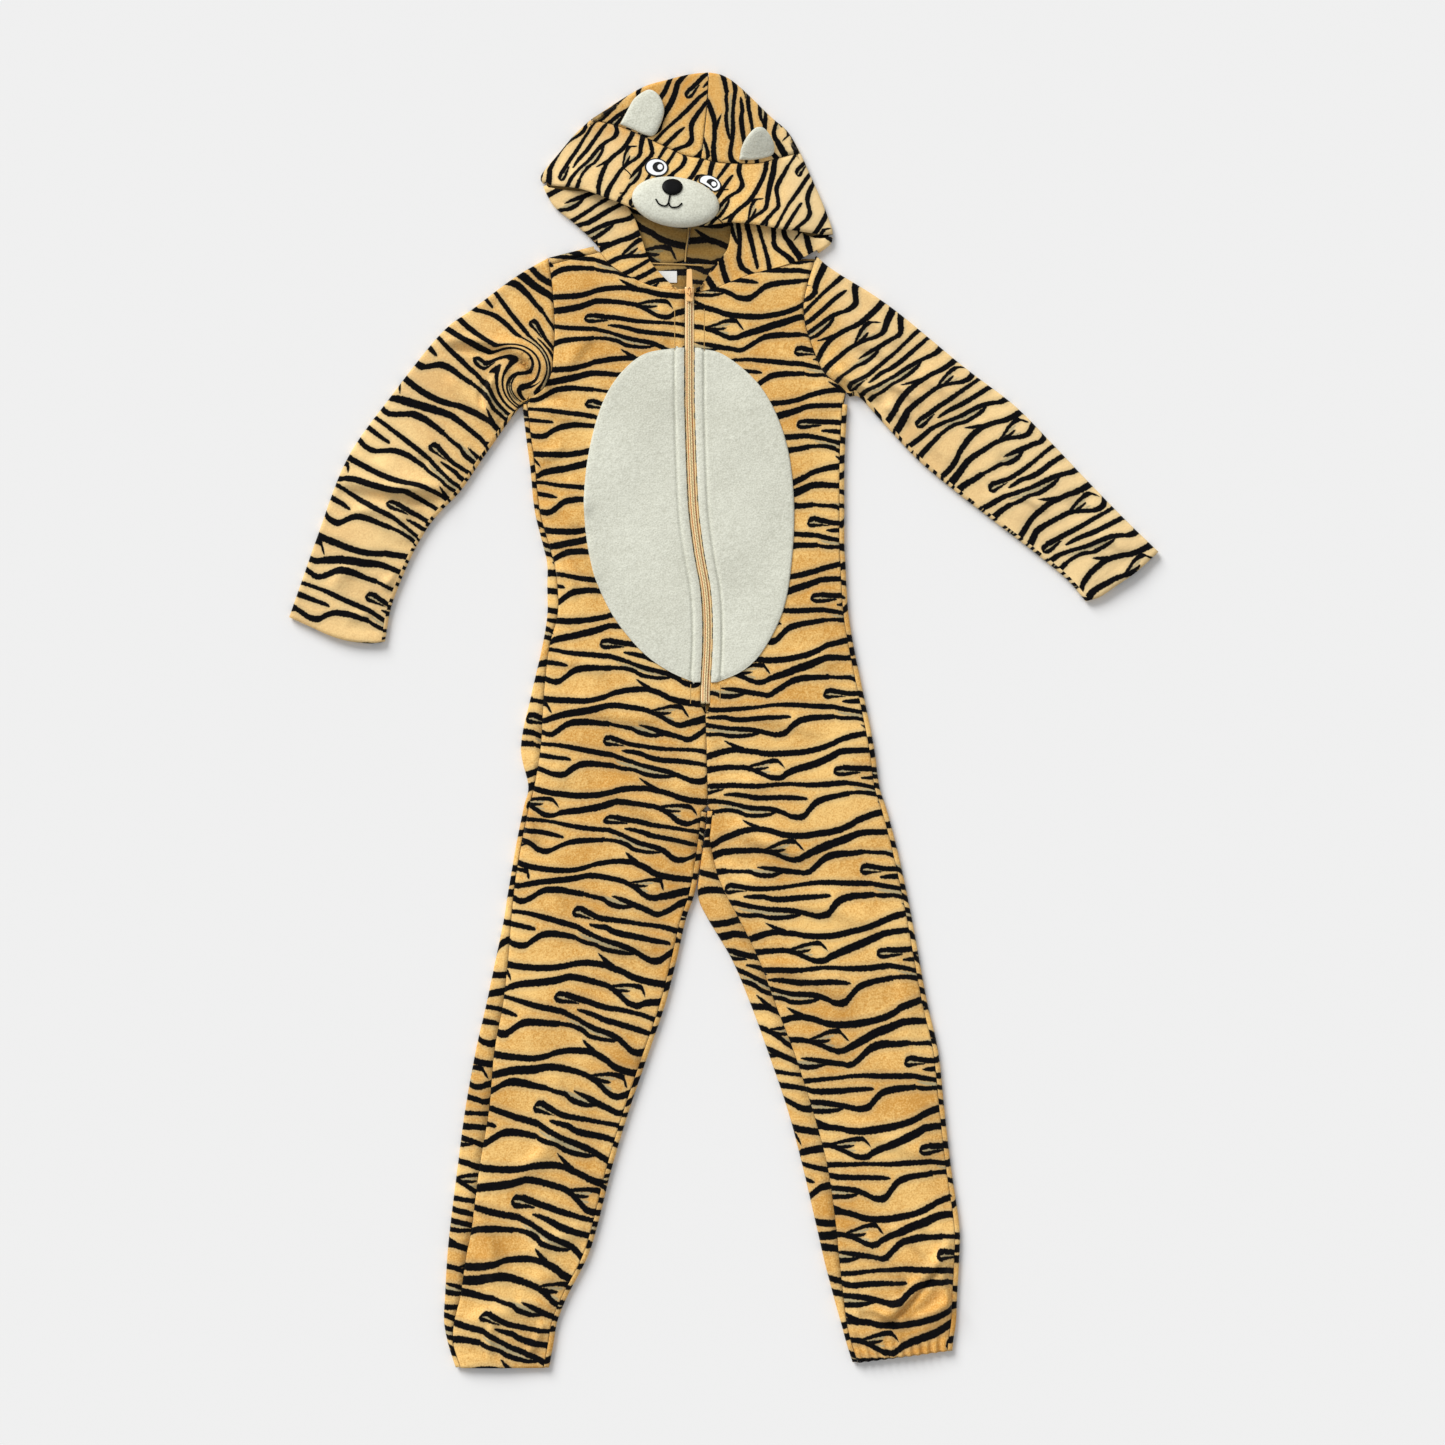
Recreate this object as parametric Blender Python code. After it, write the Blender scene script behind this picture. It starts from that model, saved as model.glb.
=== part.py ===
"""Hooded tiger onesie for a child, laid flat on its back.

Plan sizes are millimetres seen from above: x runs to the wearer's left, y runs
from the feet to the hood, and z is the height above the table. The finished
model is in metres.
"""
import math

import bmesh
import bpy
import numpy as np
from mathutils import Vector

for item in list(bpy.data.objects):
    bpy.data.objects.remove(item, do_unlink=True)

MM = 0.001
SHIFT_X = -0.5
SHIFT_Y = -2.3

# Cloth
WALL = 2.0
ROLL = 3.2
LOFT = 1.4
LOFT_REACH = 25.0
SEAM_GAP = 0.3
SEAM_INSET = 5.0
MERGE = 0.02

# Rows and columns of the cloth walls
TORSO_ROWS = 13
HIP_ROWS = 4
LEG_ROWS = 24
FRONT_COLUMNS = (5, 5)
BACK_COLUMNS = (3, 2)
ARMHOLE_POINTS = 9
ARMPIT_REACH_RIGHT = 8.6
ARMPIT_REACH_LEFT = 4.7
ARMPIT_DROP = 2.5
EDGE_STEPS = 3
UNDER_SKIP = 4
HOOD_COLUMNS = 8

# Zip
ZIP_HALF = 4.7
ZIP_BOTTOM = 17.0
ZIP_TOP = 413.0
TAPE_IN = 0.4
TAPE_OUT = 4.3
TAPE_THICK = 0.8
TAPE_SINK = 0.6
CHAIN_HALF = 2.0
CHAIN_HIGH = 1.6
CHAIN_TOP = 398.0

SLIDER_WIDE = 9.4
SLIDER_LONG = 12.4
SLIDER_HIGH = 3.6
SLIDER_Y = 405.0
BRIDGE_WIDE = 1.6
BRIDGE_IN = 1.25
BRIDGE_OUT = 2.45
BRIDGE_CLEAR = 1.0
BRIDGE_BAR = 1.2
PIVOT_Y = 407.0
PIVOT_RISE = 1.15
PULL_WIDE = 6.2
PULL_LONG = 22.0
PULL_THICK = 1.4
EYE_WIDE = 3.0
EYE_START = 0.75
EYE_END = 4.9

# Applique and padding
BELLY_WALL = 1.6
APPLIQUE_GAP = 0.35

FLEECE_ORANGE = (0.76, 0.46, 0.14)
CREAM = (0.68, 0.66, 0.57)

# Body sections: height on the garment, then the edges and seams across it.
# right_seam is the side seam that has rolled to the front, left_seam the inseam.
BODY_COLUMNS = ("y", "right_edge", "right_seam", "right_inner", "left_inner", "left_seam", "left_edge")
BODY = (
    (304, -191, -187, -32, -32, -32, 118),
    (270, -187, -183, -31, -31, -31, 116),
    (240, -183, -179, -30, -30, -30, 115),
    (201, -179, -174, -28, -28, -28, 115),
    (168, -171, -165, -24, -24, -24, 115),
    (150, -167, -160, -21, -21, -21, 116),
    (128, -167, -157, -17, -17, -17, 117),
    (102, -167, -157, -15, -15, -15, 119),
    (71, -172, -165, -15, -15, -15, 124),
    (27, -182, -170, -17, -17, -17, 133),
    (-23, -192, -173, -16, -16, -16, 143),
    (-60, -185, -179, -15, -15, -15, 148),
    (-79, -189, -184, -15, -15, -15, 154),
    (-108, -195, -190, -18, -18, -13, 162),
    (-142, -201, -196, -23, -23, -6, 170),
    (-166, -205, -199, -28, -24, 4, 175),
    (-186, -208, -201, -35, -15, 15, 179),
    (-225, -216, -204, -44, 8, 34, 186),
    (-268, -225, -209, -55, 26, 50, 194),
    (-312, -235, -217, -70, 42, 67, 204),
    (-368, -245, -222, -89, 61, 85, 210),
    (-421, -252, -231, -105, 75, 99, 216),
    (-477, -259, -238, -119, 88, 107, 224),
    (-508, -262, -244, -129, 95, 110, 224),
    (-543, -264, -249, -147, 104, 114, 222),
    (-568, -265, -255, -157, 111, 117, 221),
    (-590, -261, -256, -161, 117, 122, 218),
    (-612, -254, -249, -165, 124, 129, 217),
)
CROTCH_Y = -79.0
LEG_START = 5.0
ZIP_CLOSE = 9.0
LEG_CROWD = ((0.15, 0.09, 1.8), (1.0, 0.22, 1.6))
ARMPIT_Y = 304.0
HEM_RIGHT_Y = -612.0
HEM_LEFT_INNER_Y = -607.0
HEM_LEFT_OUTER_Y = -596.0

# Outlines in plan, each read from one end to the other.
ARMHOLE_RIGHT = ((-191, 303), (-171, 316), (-163, 331), (-161, 350), (-160, 376), (-162, 411), (-166, 441))
ARMHOLE_LEFT = ((120, 309), (112, 318), (97, 330), (90, 342), (82, 363), (77, 382), (77, 404), (88, 443))
NECK_FRONT_RIGHT = ((-42, 411), (-54, 411), (-70, 414), (-88, 422), (-106, 433), (-117, 446))
SHOULDER_RIGHT = ((-117, 446), (-164, 434))
NECK_FRONT_LEFT = ((-30, 407), (-14, 410), (3, 416), (24, 424), (54, 432), (70, 437))
SHOULDER_LEFT = ((70, 437), (76, 438), (83, 438))
NECK_BACK_RIGHT = ((-37, 436), (-80, 434), (-122, 449))
NECK_BACK_LEFT = ((-36, 436), (17, 434), (70, 439))
SHOULDER_EDGE_RIGHT = ((-123, 452), (-166, 441))
SHOULDER_END_LEFT = ((70, 439), (77, 440), (84, 440))

BODY_MIDDLE = (-32, 380)
SLEEVE_RIGHT_CROWDS = ((0.06, 0.14, 1.6), (0.62, 0.12, 1.2))
SLEEVE_LEFT_CROWDS = ((0.04, 0.12, 1.0),)
SLEEVE_RIGHT_INNER = (
    (-191, 303), (-204, 285), (-230, 248), (-250, 219), (-273, 195),
    (-289, 171), (-302, 144), (-315, 110), (-321, 77),
)
SLEEVE_RIGHT_OUTER = (
    (-166, 441), (-197, 423), (-237, 393), (-268, 369), (-315, 310),
    (-357, 250), (-385, 177), (-399, 137), (-412, 100),
)
SLEEVE_RIGHT_HEM = ((-321, 77), (-334, 75), (-354, 77), (-372, 82), (-390, 90), (-412, 100))
SLEEVE_LEFT_INNER = (
    (120, 309), (130, 308), (153, 283), (184, 250), (217, 222),
    (257, 191), (296, 161), (326, 136), (344, 115),
)
SLEEVE_LEFT_OUTER = (
    (88, 443), (105, 429), (158, 395), (229, 337), (275, 302),
    (308, 269), (344, 231), (380, 194), (413, 162),
)
SLEEVE_LEFT_HEM = ((344, 115), (357, 119), (372, 129), (392, 143), (413, 162))

HOOD_SEAM_FRONT = ((-14, 617), (-15, 590), (-18, 560), (-21, 535))
HOOD_SEAM_BACK = ((-21, 535), (-28, 490), (-36, 439))
HOOD_EDGE_RIGHT_TOP = ((-14, 617), (-33, 615), (-53, 610), (-74, 604), (-94, 593), (-126, 572))
HOOD_EDGE_LEFT_TOP = ((-14, 617), (0, 614), (16, 603), (45, 575), (61, 561), (73, 541))
HOOD_EDGE_RIGHT_BAND = ((-126, 572), (-141, 558), (-157, 539), (-173, 519), (-171, 511))
HOOD_EDGE_LEFT_BAND = ((73, 541), (85, 514), (93, 496), (103, 470), (104, 463))
HOOD_EDGE_RIGHT_LOW = ((-171, 509), (-167, 500), (-159, 488), (-143, 475), (-121, 455))
HOOD_EDGE_LEFT_LOW = ((104, 461), (102, 454), (90, 445))
BAND_SEAM_RIGHT = ((-21, 535), (-37, 538), (-53, 545), (-70, 553), (-97, 565), (-126, 572))
BAND_SEAM_LEFT = ((-21, 535), (-5, 531), (14, 530), (32, 530), (48, 534), (73, 541))
BAND_EDGE = (
    (-168, 510), (-136, 505), (-113, 497), (-92, 489), (-74, 481), (-55, 475),
    (-39, 470), (-17, 470), (5, 473), (32, 471), (60, 466), (99, 462),
)
FRONT_RIGHT_TOP = ((-169, 508), (-150, 505), (-136, 504), (-115, 505), (-100, 499))
FRONT_RIGHT_OPENING = ((-100, 499), (-86, 482), (-77, 458), (-71, 440), (-60, 426), (-48, 414))
FRONT_LEFT_TOP = ((101, 460), (92, 459), (82, 461), (60, 472), (32, 479), (6, 482))
FRONT_LEFT_OPENING = ((6, 482), (7, 465), (4, 449), (-5, 437), (-14, 425), (-21, 412))

# Belly oval: height, then its two sides.
BELLY = (
    (355, -46, -24),
    (347, -79, 3),
    (316, -108, 37),
    (268, -125, 59),
    (211, -132, 67),
    (154, -126, 65),
    (107, -108, 57),
    (70, -80, 39),
    (50, -54, 20),
    (38, -28, -6),
)

# Folds: a ridge or trough from one point to another, with its half width,
# height and sideways bow.
# Columns: x0, y0, x1, y1, half_width, height, bow
FOLDS = (
    (-216, 362, -168, 312, 9.0, 5.5, 12),
    (-206, 344, -192, 306, 8.0, 4.2, 0),
    (-224, 326, -211, 290, 8.0, 3.4, -5),
    (-198, 354, -180, 318, 6.0, -1.8, 6),
    (-318, 224, -252, 214, 8.0, 3.4, 5),
    (-350, 210, -288, 170, 8.5, 3.2, -4),
    (-300, 196, -276, 178, 6.0, -1.6, 0),
    (-372, 186, -330, 150, 11.0, 2.0, 3),
    (98, 346, 144, 309, 7.5, 4.4, -5),
    (112, 324, 150, 300, 5.0, -1.6, -3),
    (190, 268, 224, 246, 9.0, 1.8, 0),
    (250, 216, 292, 188, 10.0, 1.8, 3),
    (330, 196, 366, 150, 10.0, 1.6, 2),
    (-176, 206, -142, 178, 8.0, 3.0, 3),
    (-166, 182, -146, 150, 6.0, -1.8, 2),
    (-168, 118, -138, 92, 8.0, 2.2, 0),
    (96, 338, 84, 292, 9.0, 2.2, 4),
    (80, 122, 120, 90, 10.0, 2.0, 3),
    (-20, -66, -92, -34, 9.0, 2.2, 5),
    (-6, -70, 66, -40, 9.0, 2.0, -5),
    (-184, -30, -150, -66, 8.0, 2.6, 3),
    (-24, -186, -96, -214, 10.0, 1.8, 5),
    (150, -300, 196, -436, 13.0, 2.4, 6),
    (112, -430, 150, -520, 12.0, 1.8, -4),
    (218, -498, 150, -566, 9.0, 4.8, 8),
    (222, -532, 180, -580, 7.0, 3.4, 5),
    (112, -560, 148, -588, 7.0, 2.6, -3),
    (-152, -550, -250, -572, 9.0, 3.2, -6),
    (-150, -520, -196, -540, 8.0, 2.0, -3),
    (-230, -470, -214, -540, 10.0, 1.6, 3),
)

# Gathers of the elastic hem at the left ankle
GATHER_COUNT = 6
GATHER_HIGH = 1.5
GATHER_REACH = 18.0
GATHER_SPLIT = 3

# Hood
CROWN_LOFT = 1.8
HOOD_TUCK = 0.5
BAND_SIDE_POINTS = 6
FRONT_SIDE_STEP = 17.0
HOOD_FRONT_COLUMNS = 5
HOOD_FRONT_END = 0.55
BAND_RISE = 8.5
BAND_DEEP = 66.0
BAND_RAMP = 34.0
HOOD_MIDDLE = (-35, 530)

# Face and ears: centre, half sizes, turn in degrees, thickness
MUZZLE = {"centre": (-45, 492), "half": (41.5, 24.0), "turn": -8.0, "thick": 12.0}
NOSE = {"centre": (-48, 505), "half": (9.8, 8.3), "turn": 0.0, "thick": 2.2}
EYE_RIGHT = {"centre": (-63, 525.5), "half": (11.4, 9.0), "turn": -5.0, "thick": 1.3}
EYE_LEFT = {"centre": (-12.5, 510.5), "half": (11.6, 7.6), "turn": -25.0, "thick": 1.3}
EAR_THICK = 4.5
EAR_RIGHT = (
    (-98, 567), (-92, 578), (-85, 590), (-76, 597), (-69, 599), (-62, 595),
    (-57, 586), (-56, 577), (-60, 565), (-66, 556), (-75, 557), (-86, 562),
)
EAR_LEFT = (
    (15, 533), (17, 543), (22, 553), (30, 561), (37, 562), (43, 557),
    (48, 548), (48, 540), (43, 536), (29, 533),
)
EAR_ROOT = 7.0
EAR_RIGHT_TILT = 8.0
EAR_LEFT_TILT = 28.0

LABEL_CENTRE = (-55, 423)
LABEL_SIZE = (22, 11, 0.6)


def smooth_step(value):
    """Ease from 0 to 1 with level ends."""
    held = np.clip(value, 0.0, 1.0)
    return held * held * (3.0 - 2.0 * held)


def respaced(points, count):
    """The same polyline with evenly spaced points."""
    points = np.asarray(points, float)
    steps = np.linalg.norm(np.diff(points, axis=0), axis=1)
    along = np.concatenate([[0.0], np.cumsum(steps)])
    places = np.linspace(0.0, along[-1], count)
    return np.column_stack([np.interp(places, along, points[:, axis]) for axis in range(points.shape[1])])


def curve(points, count=160):
    """A smooth curve through the points, evenly spaced."""
    knots = np.array(points, float)
    ends = np.vstack([2 * knots[0] - knots[1], knots, 2 * knots[-1] - knots[-2]])
    t = np.linspace(0.0, 1.0, 14, endpoint=False)[:, None]
    dense = []
    for a, b, c, d in zip(ends, ends[1:], ends[2:], ends[3:]):
        bend = (2 * a - 5 * b + 4 * c - d) * t ** 2 + (3 * b - 3 * c + d - a) * t ** 3
        dense.append(0.5 * (2 * b + (c - a) * t + bend))
    dense.append(knots[-1:])
    return respaced(np.vstack(dense), count)


def trimmed(points, start, end, count=160):
    """A curve with a length cut off each end."""
    points = np.asarray(points, float)
    steps = np.linalg.norm(np.diff(points, axis=0), axis=1)
    along = np.concatenate([[0.0], np.cumsum(steps)])
    places = np.linspace(start, along[-1] - end, count)
    return np.column_stack([np.interp(places, along, points[:, axis]) for axis in range(2)])


def placed_at(points, shares):
    """Points of a curve at given shares of its length."""
    points = np.asarray(points, float)
    steps = np.linalg.norm(np.diff(points, axis=0), axis=1)
    along = np.concatenate([[0.0], np.cumsum(steps)])
    places = np.asarray(shares) * along[-1]
    return np.column_stack([np.interp(places, along, points[:, axis]) for axis in range(2)])


def crowded(count, crowds):
    """Shares from 0 to 1 that lie closer near each crowd's centre."""
    t = np.linspace(0.0, 1.0, 400)
    density = np.ones_like(t)
    for centre, width, extra in crowds:
        density += extra * np.exp(-((t - centre) / width) ** 2)
    total = np.concatenate([[0.0], np.cumsum((density[1:] + density[:-1]) / 2.0)])
    return np.interp(np.linspace(0.0, 1.0, count), total / total[-1], t)


def joined(first, second, first_count, second_count):
    """Two curves that meet at a corner, as one row of points."""
    return np.vstack([respaced(first, first_count)[:-1], respaced(second, second_count)])


def normals(points, towards):
    """Unit normals of a curve that point towards a place."""
    along = np.gradient(points, axis=0)
    across = np.column_stack([-along[:, 1], along[:, 0]])
    across /= np.linalg.norm(across, axis=1)[:, None]
    flip = np.sign(np.sum(across * (np.array(towards) - points), axis=1))
    return across * flip[:, None]


def beside(points, distance, towards):
    """A curve moved sideways towards a place."""
    return points + normals(points, towards) * distance


SECTION = {
    name: curve([(row[0], row[column]) for row in BODY], 700)[::-1]
    for column, name in enumerate(BODY_COLUMNS)
    if column
}


def across(name, y):
    """Where one edge or seam of the body lies at a height."""
    return np.interp(y, SECTION[name][:, 0], SECTION[name][:, 1])


def edge_line(name, top, bottom):
    """One edge of the body as a plan curve."""
    heights = np.linspace(top, bottom, 120)
    return np.column_stack([across(name, heights), heights])


def segments(lines):
    """Start and end points of every stretch of some polylines."""
    starts = np.vstack([line[:-1] for line in lines])
    ends = np.vstack([line[1:] for line in lines])
    return starts, ends


def distance(points, stretches):
    """Distance of plan points from the nearest stretch."""
    starts, ends = stretches
    run = ends - starts
    rest = points[:, None, :] - starts[None]
    length = np.maximum(np.sum(run * run, axis=1), 1e-9)
    t = np.clip(np.sum(rest * run[None], axis=2) / length, 0.0, 1.0)
    return np.min(np.linalg.norm(rest - t[..., None] * run[None], axis=2), axis=1)


BODY_EDGES = segments([
    edge_line("right_edge", ARMPIT_Y, HEM_RIGHT_Y),
    edge_line("left_edge", ARMPIT_Y, HEM_LEFT_OUTER_Y),
    edge_line("right_inner", CROTCH_Y - LEG_START, HEM_RIGHT_Y),
    edge_line("left_inner", CROTCH_Y - LEG_START, HEM_LEFT_INNER_Y),
    curve(SHOULDER_EDGE_RIGHT),
    curve(SLEEVE_RIGHT_INNER),
    curve(SLEEVE_RIGHT_OUTER),
    curve(SLEEVE_LEFT_INNER),
    curve(SLEEVE_LEFT_OUTER),
])
HOOD_RIGHT_TOP = curve(HOOD_EDGE_RIGHT_TOP)
HOOD_LEFT_TOP = curve(HOOD_EDGE_LEFT_TOP)
HOOD_RIGHT_BAND = curve(HOOD_EDGE_RIGHT_BAND)
HOOD_LEFT_BAND = curve(HOOD_EDGE_LEFT_BAND)
HOOD_RIGHT_LOW = curve(HOOD_EDGE_RIGHT_LOW)
HOOD_LEFT_LOW = curve(HOOD_EDGE_LEFT_LOW)
HOOD_EDGES = segments([
    HOOD_RIGHT_TOP, HOOD_LEFT_TOP, HOOD_RIGHT_BAND, HOOD_LEFT_BAND, HOOD_RIGHT_LOW, HOOD_LEFT_LOW,
])
BAND_SEAM = np.vstack([respaced(curve(BAND_SEAM_RIGHT), 24)[::-1], respaced(curve(BAND_SEAM_LEFT), 24)[1:]])


def edge_profile(depth, loft, reach):
    """Height of a top layer at a depth inside its rolled edge."""
    inside = np.clip(ROLL - depth, 0.0, ROLL)
    roll = ROLL + np.sqrt(ROLL ** 2 - inside ** 2)
    return roll + loft * (1.0 - np.exp(-(np.maximum(depth - ROLL, 0.0) / reach) ** 2))


def folds(points):
    """Height that the folds add at plan points."""
    total = np.zeros(len(points))
    for x0, y0, x1, y1, half_width, height, bow in FOLDS:
        start = np.array((x0, y0), float)
        run = np.array((x1, y1), float) - start
        length = np.linalg.norm(run)
        run /= length
        rest = points - start
        t = rest @ run / length
        side = rest @ np.array((-run[1], run[0])) - bow * 4.0 * t * (1.0 - t)
        window = smooth_step(np.minimum(t, 1.0 - t) / 0.32)
        total += height * window * np.exp(-(side / half_width) ** 2)
    return total


def gathers(points):
    """Height that the elastic hem's gathers add at the left ankle."""
    inner = across("left_inner", points[:, 1])
    outer = across("left_edge", points[:, 1])
    share = (points[:, 0] - inner) / (outer - inner)
    hem = HEM_LEFT_INNER_Y + (HEM_LEFT_OUTER_Y - HEM_LEFT_INNER_Y) * share
    near = np.exp(-((points[:, 1] - hem) / GATHER_REACH) ** 2)
    on_leg = (points[:, 0] > 0) & (share > 0) & (share < 1)
    wave = np.cos(2.0 * math.pi * GATHER_COUNT * share)
    return np.where(on_leg, GATHER_HIGH * near * wave, 0.0)


def body_top(points):
    """Height of the body's and sleeves' upper layer."""
    points = np.asarray(points, float)
    depth = distance(points, BODY_EDGES)
    relief = (folds(points) + gathers(points)) * smooth_step((depth - ROLL) / 8.0)
    return edge_profile(depth, LOFT, LOFT_REACH) + relief


def hood_top(points, loft=LOFT):
    """Height of the hood's upper layer."""
    return edge_profile(distance(np.asarray(points, float), HOOD_EDGES), loft, LOFT_REACH)


def band_top(points):
    """Height of the hood band, which rises towards the opening."""
    points = np.asarray(points, float)
    from_seam = distance(points, segments([BAND_SEAM]))
    from_edge = distance(points, HOOD_EDGES)
    rise = BAND_RISE * smooth_step(from_seam / BAND_DEEP) * smooth_step((from_edge - ROLL) / BAND_RAMP)
    return hood_top(points, CROWN_LOFT) + rise


def raised(rows, height):
    """Plan rows lifted to a height, which may be a number or a function."""
    rows = np.asarray(rows, float)
    flat = rows.reshape(-1, 2)
    z = height(flat) if callable(height) else np.full(len(flat), float(height))
    return np.column_stack([flat, z]).reshape(rows.shape[0], rows.shape[1], 3)


def rolled(edge, inward, first, last, steps=EDGE_STEPS):
    """Rows that run round a rolled edge, from one angle to another."""
    angles = np.radians(np.linspace(first, last, steps + 1))
    depth = ROLL - ROLL * np.cos(angles)
    plan = edge[:, None, :] + inward[:, None, :] * depth[None, :, None]
    z = np.broadcast_to(ROLL + ROLL * np.sin(angles), plan.shape[:2])
    return np.concatenate([plan, z[..., None]], axis=2)


def between(first, second, columns):
    """Straight rows from one curve to another."""
    t = np.linspace(0.0, 1.0, columns)[None, :, None]
    return first[:, None, :] * (1.0 - t) + second[:, None, :] * t


def coons(top, bottom, left, right):
    """Plan grid inside four curves; top and bottom run from left to right."""
    rows, columns = len(left), len(top)
    u = np.linspace(0.0, 1.0, columns)[None, :, None]
    v = np.linspace(0.0, 1.0, rows)[:, None, None]
    down = top[None] * (1.0 - v) + bottom[None] * v
    over = left[:, None] * (1.0 - u) + right[:, None] * u
    corners = (top[0] * (1 - u) + top[-1] * u) * (1 - v) + (bottom[0] * (1 - u) + bottom[-1] * u) * v
    return down + over - corners


def material(name, colour, roughness=0.9, metallic=0.0):
    """A plain material."""
    made = bpy.data.materials.new(name)
    made.use_nodes = True
    shader = made.node_tree.nodes["Principled BSDF"]
    shader.inputs["Base Color"].default_value = (*colour, 1.0)
    shader.inputs["Roughness"].default_value = roughness
    shader.inputs["Metallic"].default_value = metallic
    return made


FLEECE = material("striped_fleece", FLEECE_ORANGE)
CREAM_FLEECE = material("cream_fleece", CREAM)
BLACK_SATIN = material("black_satin", (0.012, 0.012, 0.014), 0.5)
WHITE_FELT = material("white_felt", (0.82, 0.85, 0.86))
ORANGE_TAPE = material("orange_tape", (0.72, 0.33, 0.10), 0.8)
ORANGE_COIL = material("orange_coil", (0.74, 0.36, 0.12), 0.45)
ORANGE_METAL = material("orange_metal", (0.74, 0.38, 0.16), 0.35, 0.1)
LABEL_CLOTH = material("label_cloth", (0.86, 0.86, 0.84), 0.7)


def placed(bm, name, finish, pivot=(0.0, 0.0, 0.0)):
    """The object of a mesh that is drawn in millimetres about a pivot."""
    bmesh.ops.scale(bm, vec=(MM, MM, MM), verts=bm.verts)
    mesh = bpy.data.meshes.new(name)
    bm.to_mesh(mesh)
    bm.free()
    mesh.materials.append(finish)
    mesh.shade_smooth()
    mesh.set_sharp_from_angle(angle=math.radians(50))
    thing = bpy.data.objects.new(name, mesh)
    thing.location = ((pivot[0] + SHIFT_X) * MM, (pivot[1] + SHIFT_Y) * MM, pivot[2] * MM)
    bpy.context.collection.objects.link(thing)
    return thing


def lay_grid(bm, grid):
    """Faces over a grid of points."""
    made = [[bm.verts.new(tuple(point)) for point in row] for row in grid]
    for row, below in zip(made, made[1:]):
        for a, b, c, d in zip(row, row[1:], below[1:], below):
            bm.faces.new((a, b, c, d))


def face_outwards(bm, top_is_out=True):
    """Turn a sheet so that its top, or its underside, faces out."""
    bmesh.ops.recalc_face_normals(bm, faces=bm.faces)
    key = max if top_is_out else min
    probe = key(bm.faces, key=lambda face: (face.calc_center_median().z, face.calc_area()))
    if (probe.normal.z > 0) != top_is_out:
        bmesh.ops.reverse_faces(bm, faces=bm.faces)


def lay_fan(bm, coarse, fine):
    """Faces that join a coarse row of points to a finer one."""
    upper = [bm.verts.new(tuple(point)) for point in coarse]
    lower = [bm.verts.new(tuple(point)) for point in fine]
    split = (len(fine) - 1) // (len(coarse) - 1)
    for i, (a, b) in enumerate(zip(upper, upper[1:])):
        bm.faces.new([a, b] + lower[i * split:(i + 1) * split + 1][::-1])


def through_wall(vert):
    """Way out of the wall at a point, upright along a seam so that neighbours' cuts match."""
    normal = vert.normal.copy()
    rim = [edge for edge in vert.link_edges if edge.is_boundary]
    if len(rim) != 2:
        return normal
    before, after = [(edge.other_vert(vert).co - vert.co).normalized() for edge in rim]
    runs = [after - before]
    if before.dot(after) > -0.6:
        runs = [way for way in (before, after) if abs(way.z) < 0.4]
    for run in runs:
        square = Vector((run.y, -run.x, 0.0))
        if square.length > 0.4 * run.length:
            square.normalize()
            normal -= square * normal.dot(square)
    return normal.normalized()


def thicken(bm, wall):
    """Turn a sheet into a closed wall that lies inside it."""
    bm.normal_update()
    inner = {vert: vert.co - through_wall(vert) * wall for vert in bm.verts}
    inner = {vert: bm.verts.new(place) for vert, place in inner.items()}
    faces = list(bm.faces)
    rim = [edge.link_loops[0] for edge in bm.edges if edge.is_boundary]
    rim = [(loop.vert, loop.link_loop_next.vert) for loop in rim]
    for face in faces:
        bm.faces.new([inner[vert] for vert in reversed(face.verts)])
    for a, b in rim:
        bm.faces.new((b, a, inner[a], inner[b]))


def sheet(name, grids, finish, wall=WALL, top_is_out=True, fans=()):
    """A cloth wall over one or more grids whose points are its outer face."""
    bm = bmesh.new()
    for grid in grids:
        lay_grid(bm, grid)
    for coarse, fine in fans:
        lay_fan(bm, coarse, fine)
    bmesh.ops.remove_doubles(bm, verts=bm.verts, dist=MERGE)
    bmesh.ops.dissolve_degenerate(bm, edges=bm.edges, dist=MERGE)
    face_outwards(bm, top_is_out)
    thicken(bm, wall)
    return placed(bm, name, finish)


def body_inner(side, y):
    """Inner boundary of a front: the zip, the centre seam, then the leg."""
    half = SEAM_GAP * 0.7 + (ZIP_HALF - SEAM_GAP * 0.7) * smooth_step((y - ZIP_BOTTOM + ZIP_CLOSE) / ZIP_CLOSE)
    centre = across("right_inner", y) + side * half
    leg = smooth_step((CROTCH_Y - y) / LEG_START)
    if side < 0:
        return centre - (SEAM_INSET + SEAM_GAP) * leg
    seam = np.maximum(across("left_inner", y) + SEAM_INSET + SEAM_GAP, across("left_seam", y))
    return centre * (1.0 - leg) + seam * leg


def body_outer(side, y):
    """Outer boundary of a front: its side seam."""
    if side < 0:
        return np.maximum(across("right_seam", y), across("right_edge", y) + SEAM_INSET)
    return across("left_edge", y) - SEAM_INSET


def hem_tilt(side, y):
    """How much higher a row ends than it starts, near a slanted hem."""
    if side < 0:
        return np.zeros_like(y)
    return (HEM_LEFT_OUTER_Y - HEM_LEFT_INNER_Y) * smooth_step((-480.0 - y) / 120.0)


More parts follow.
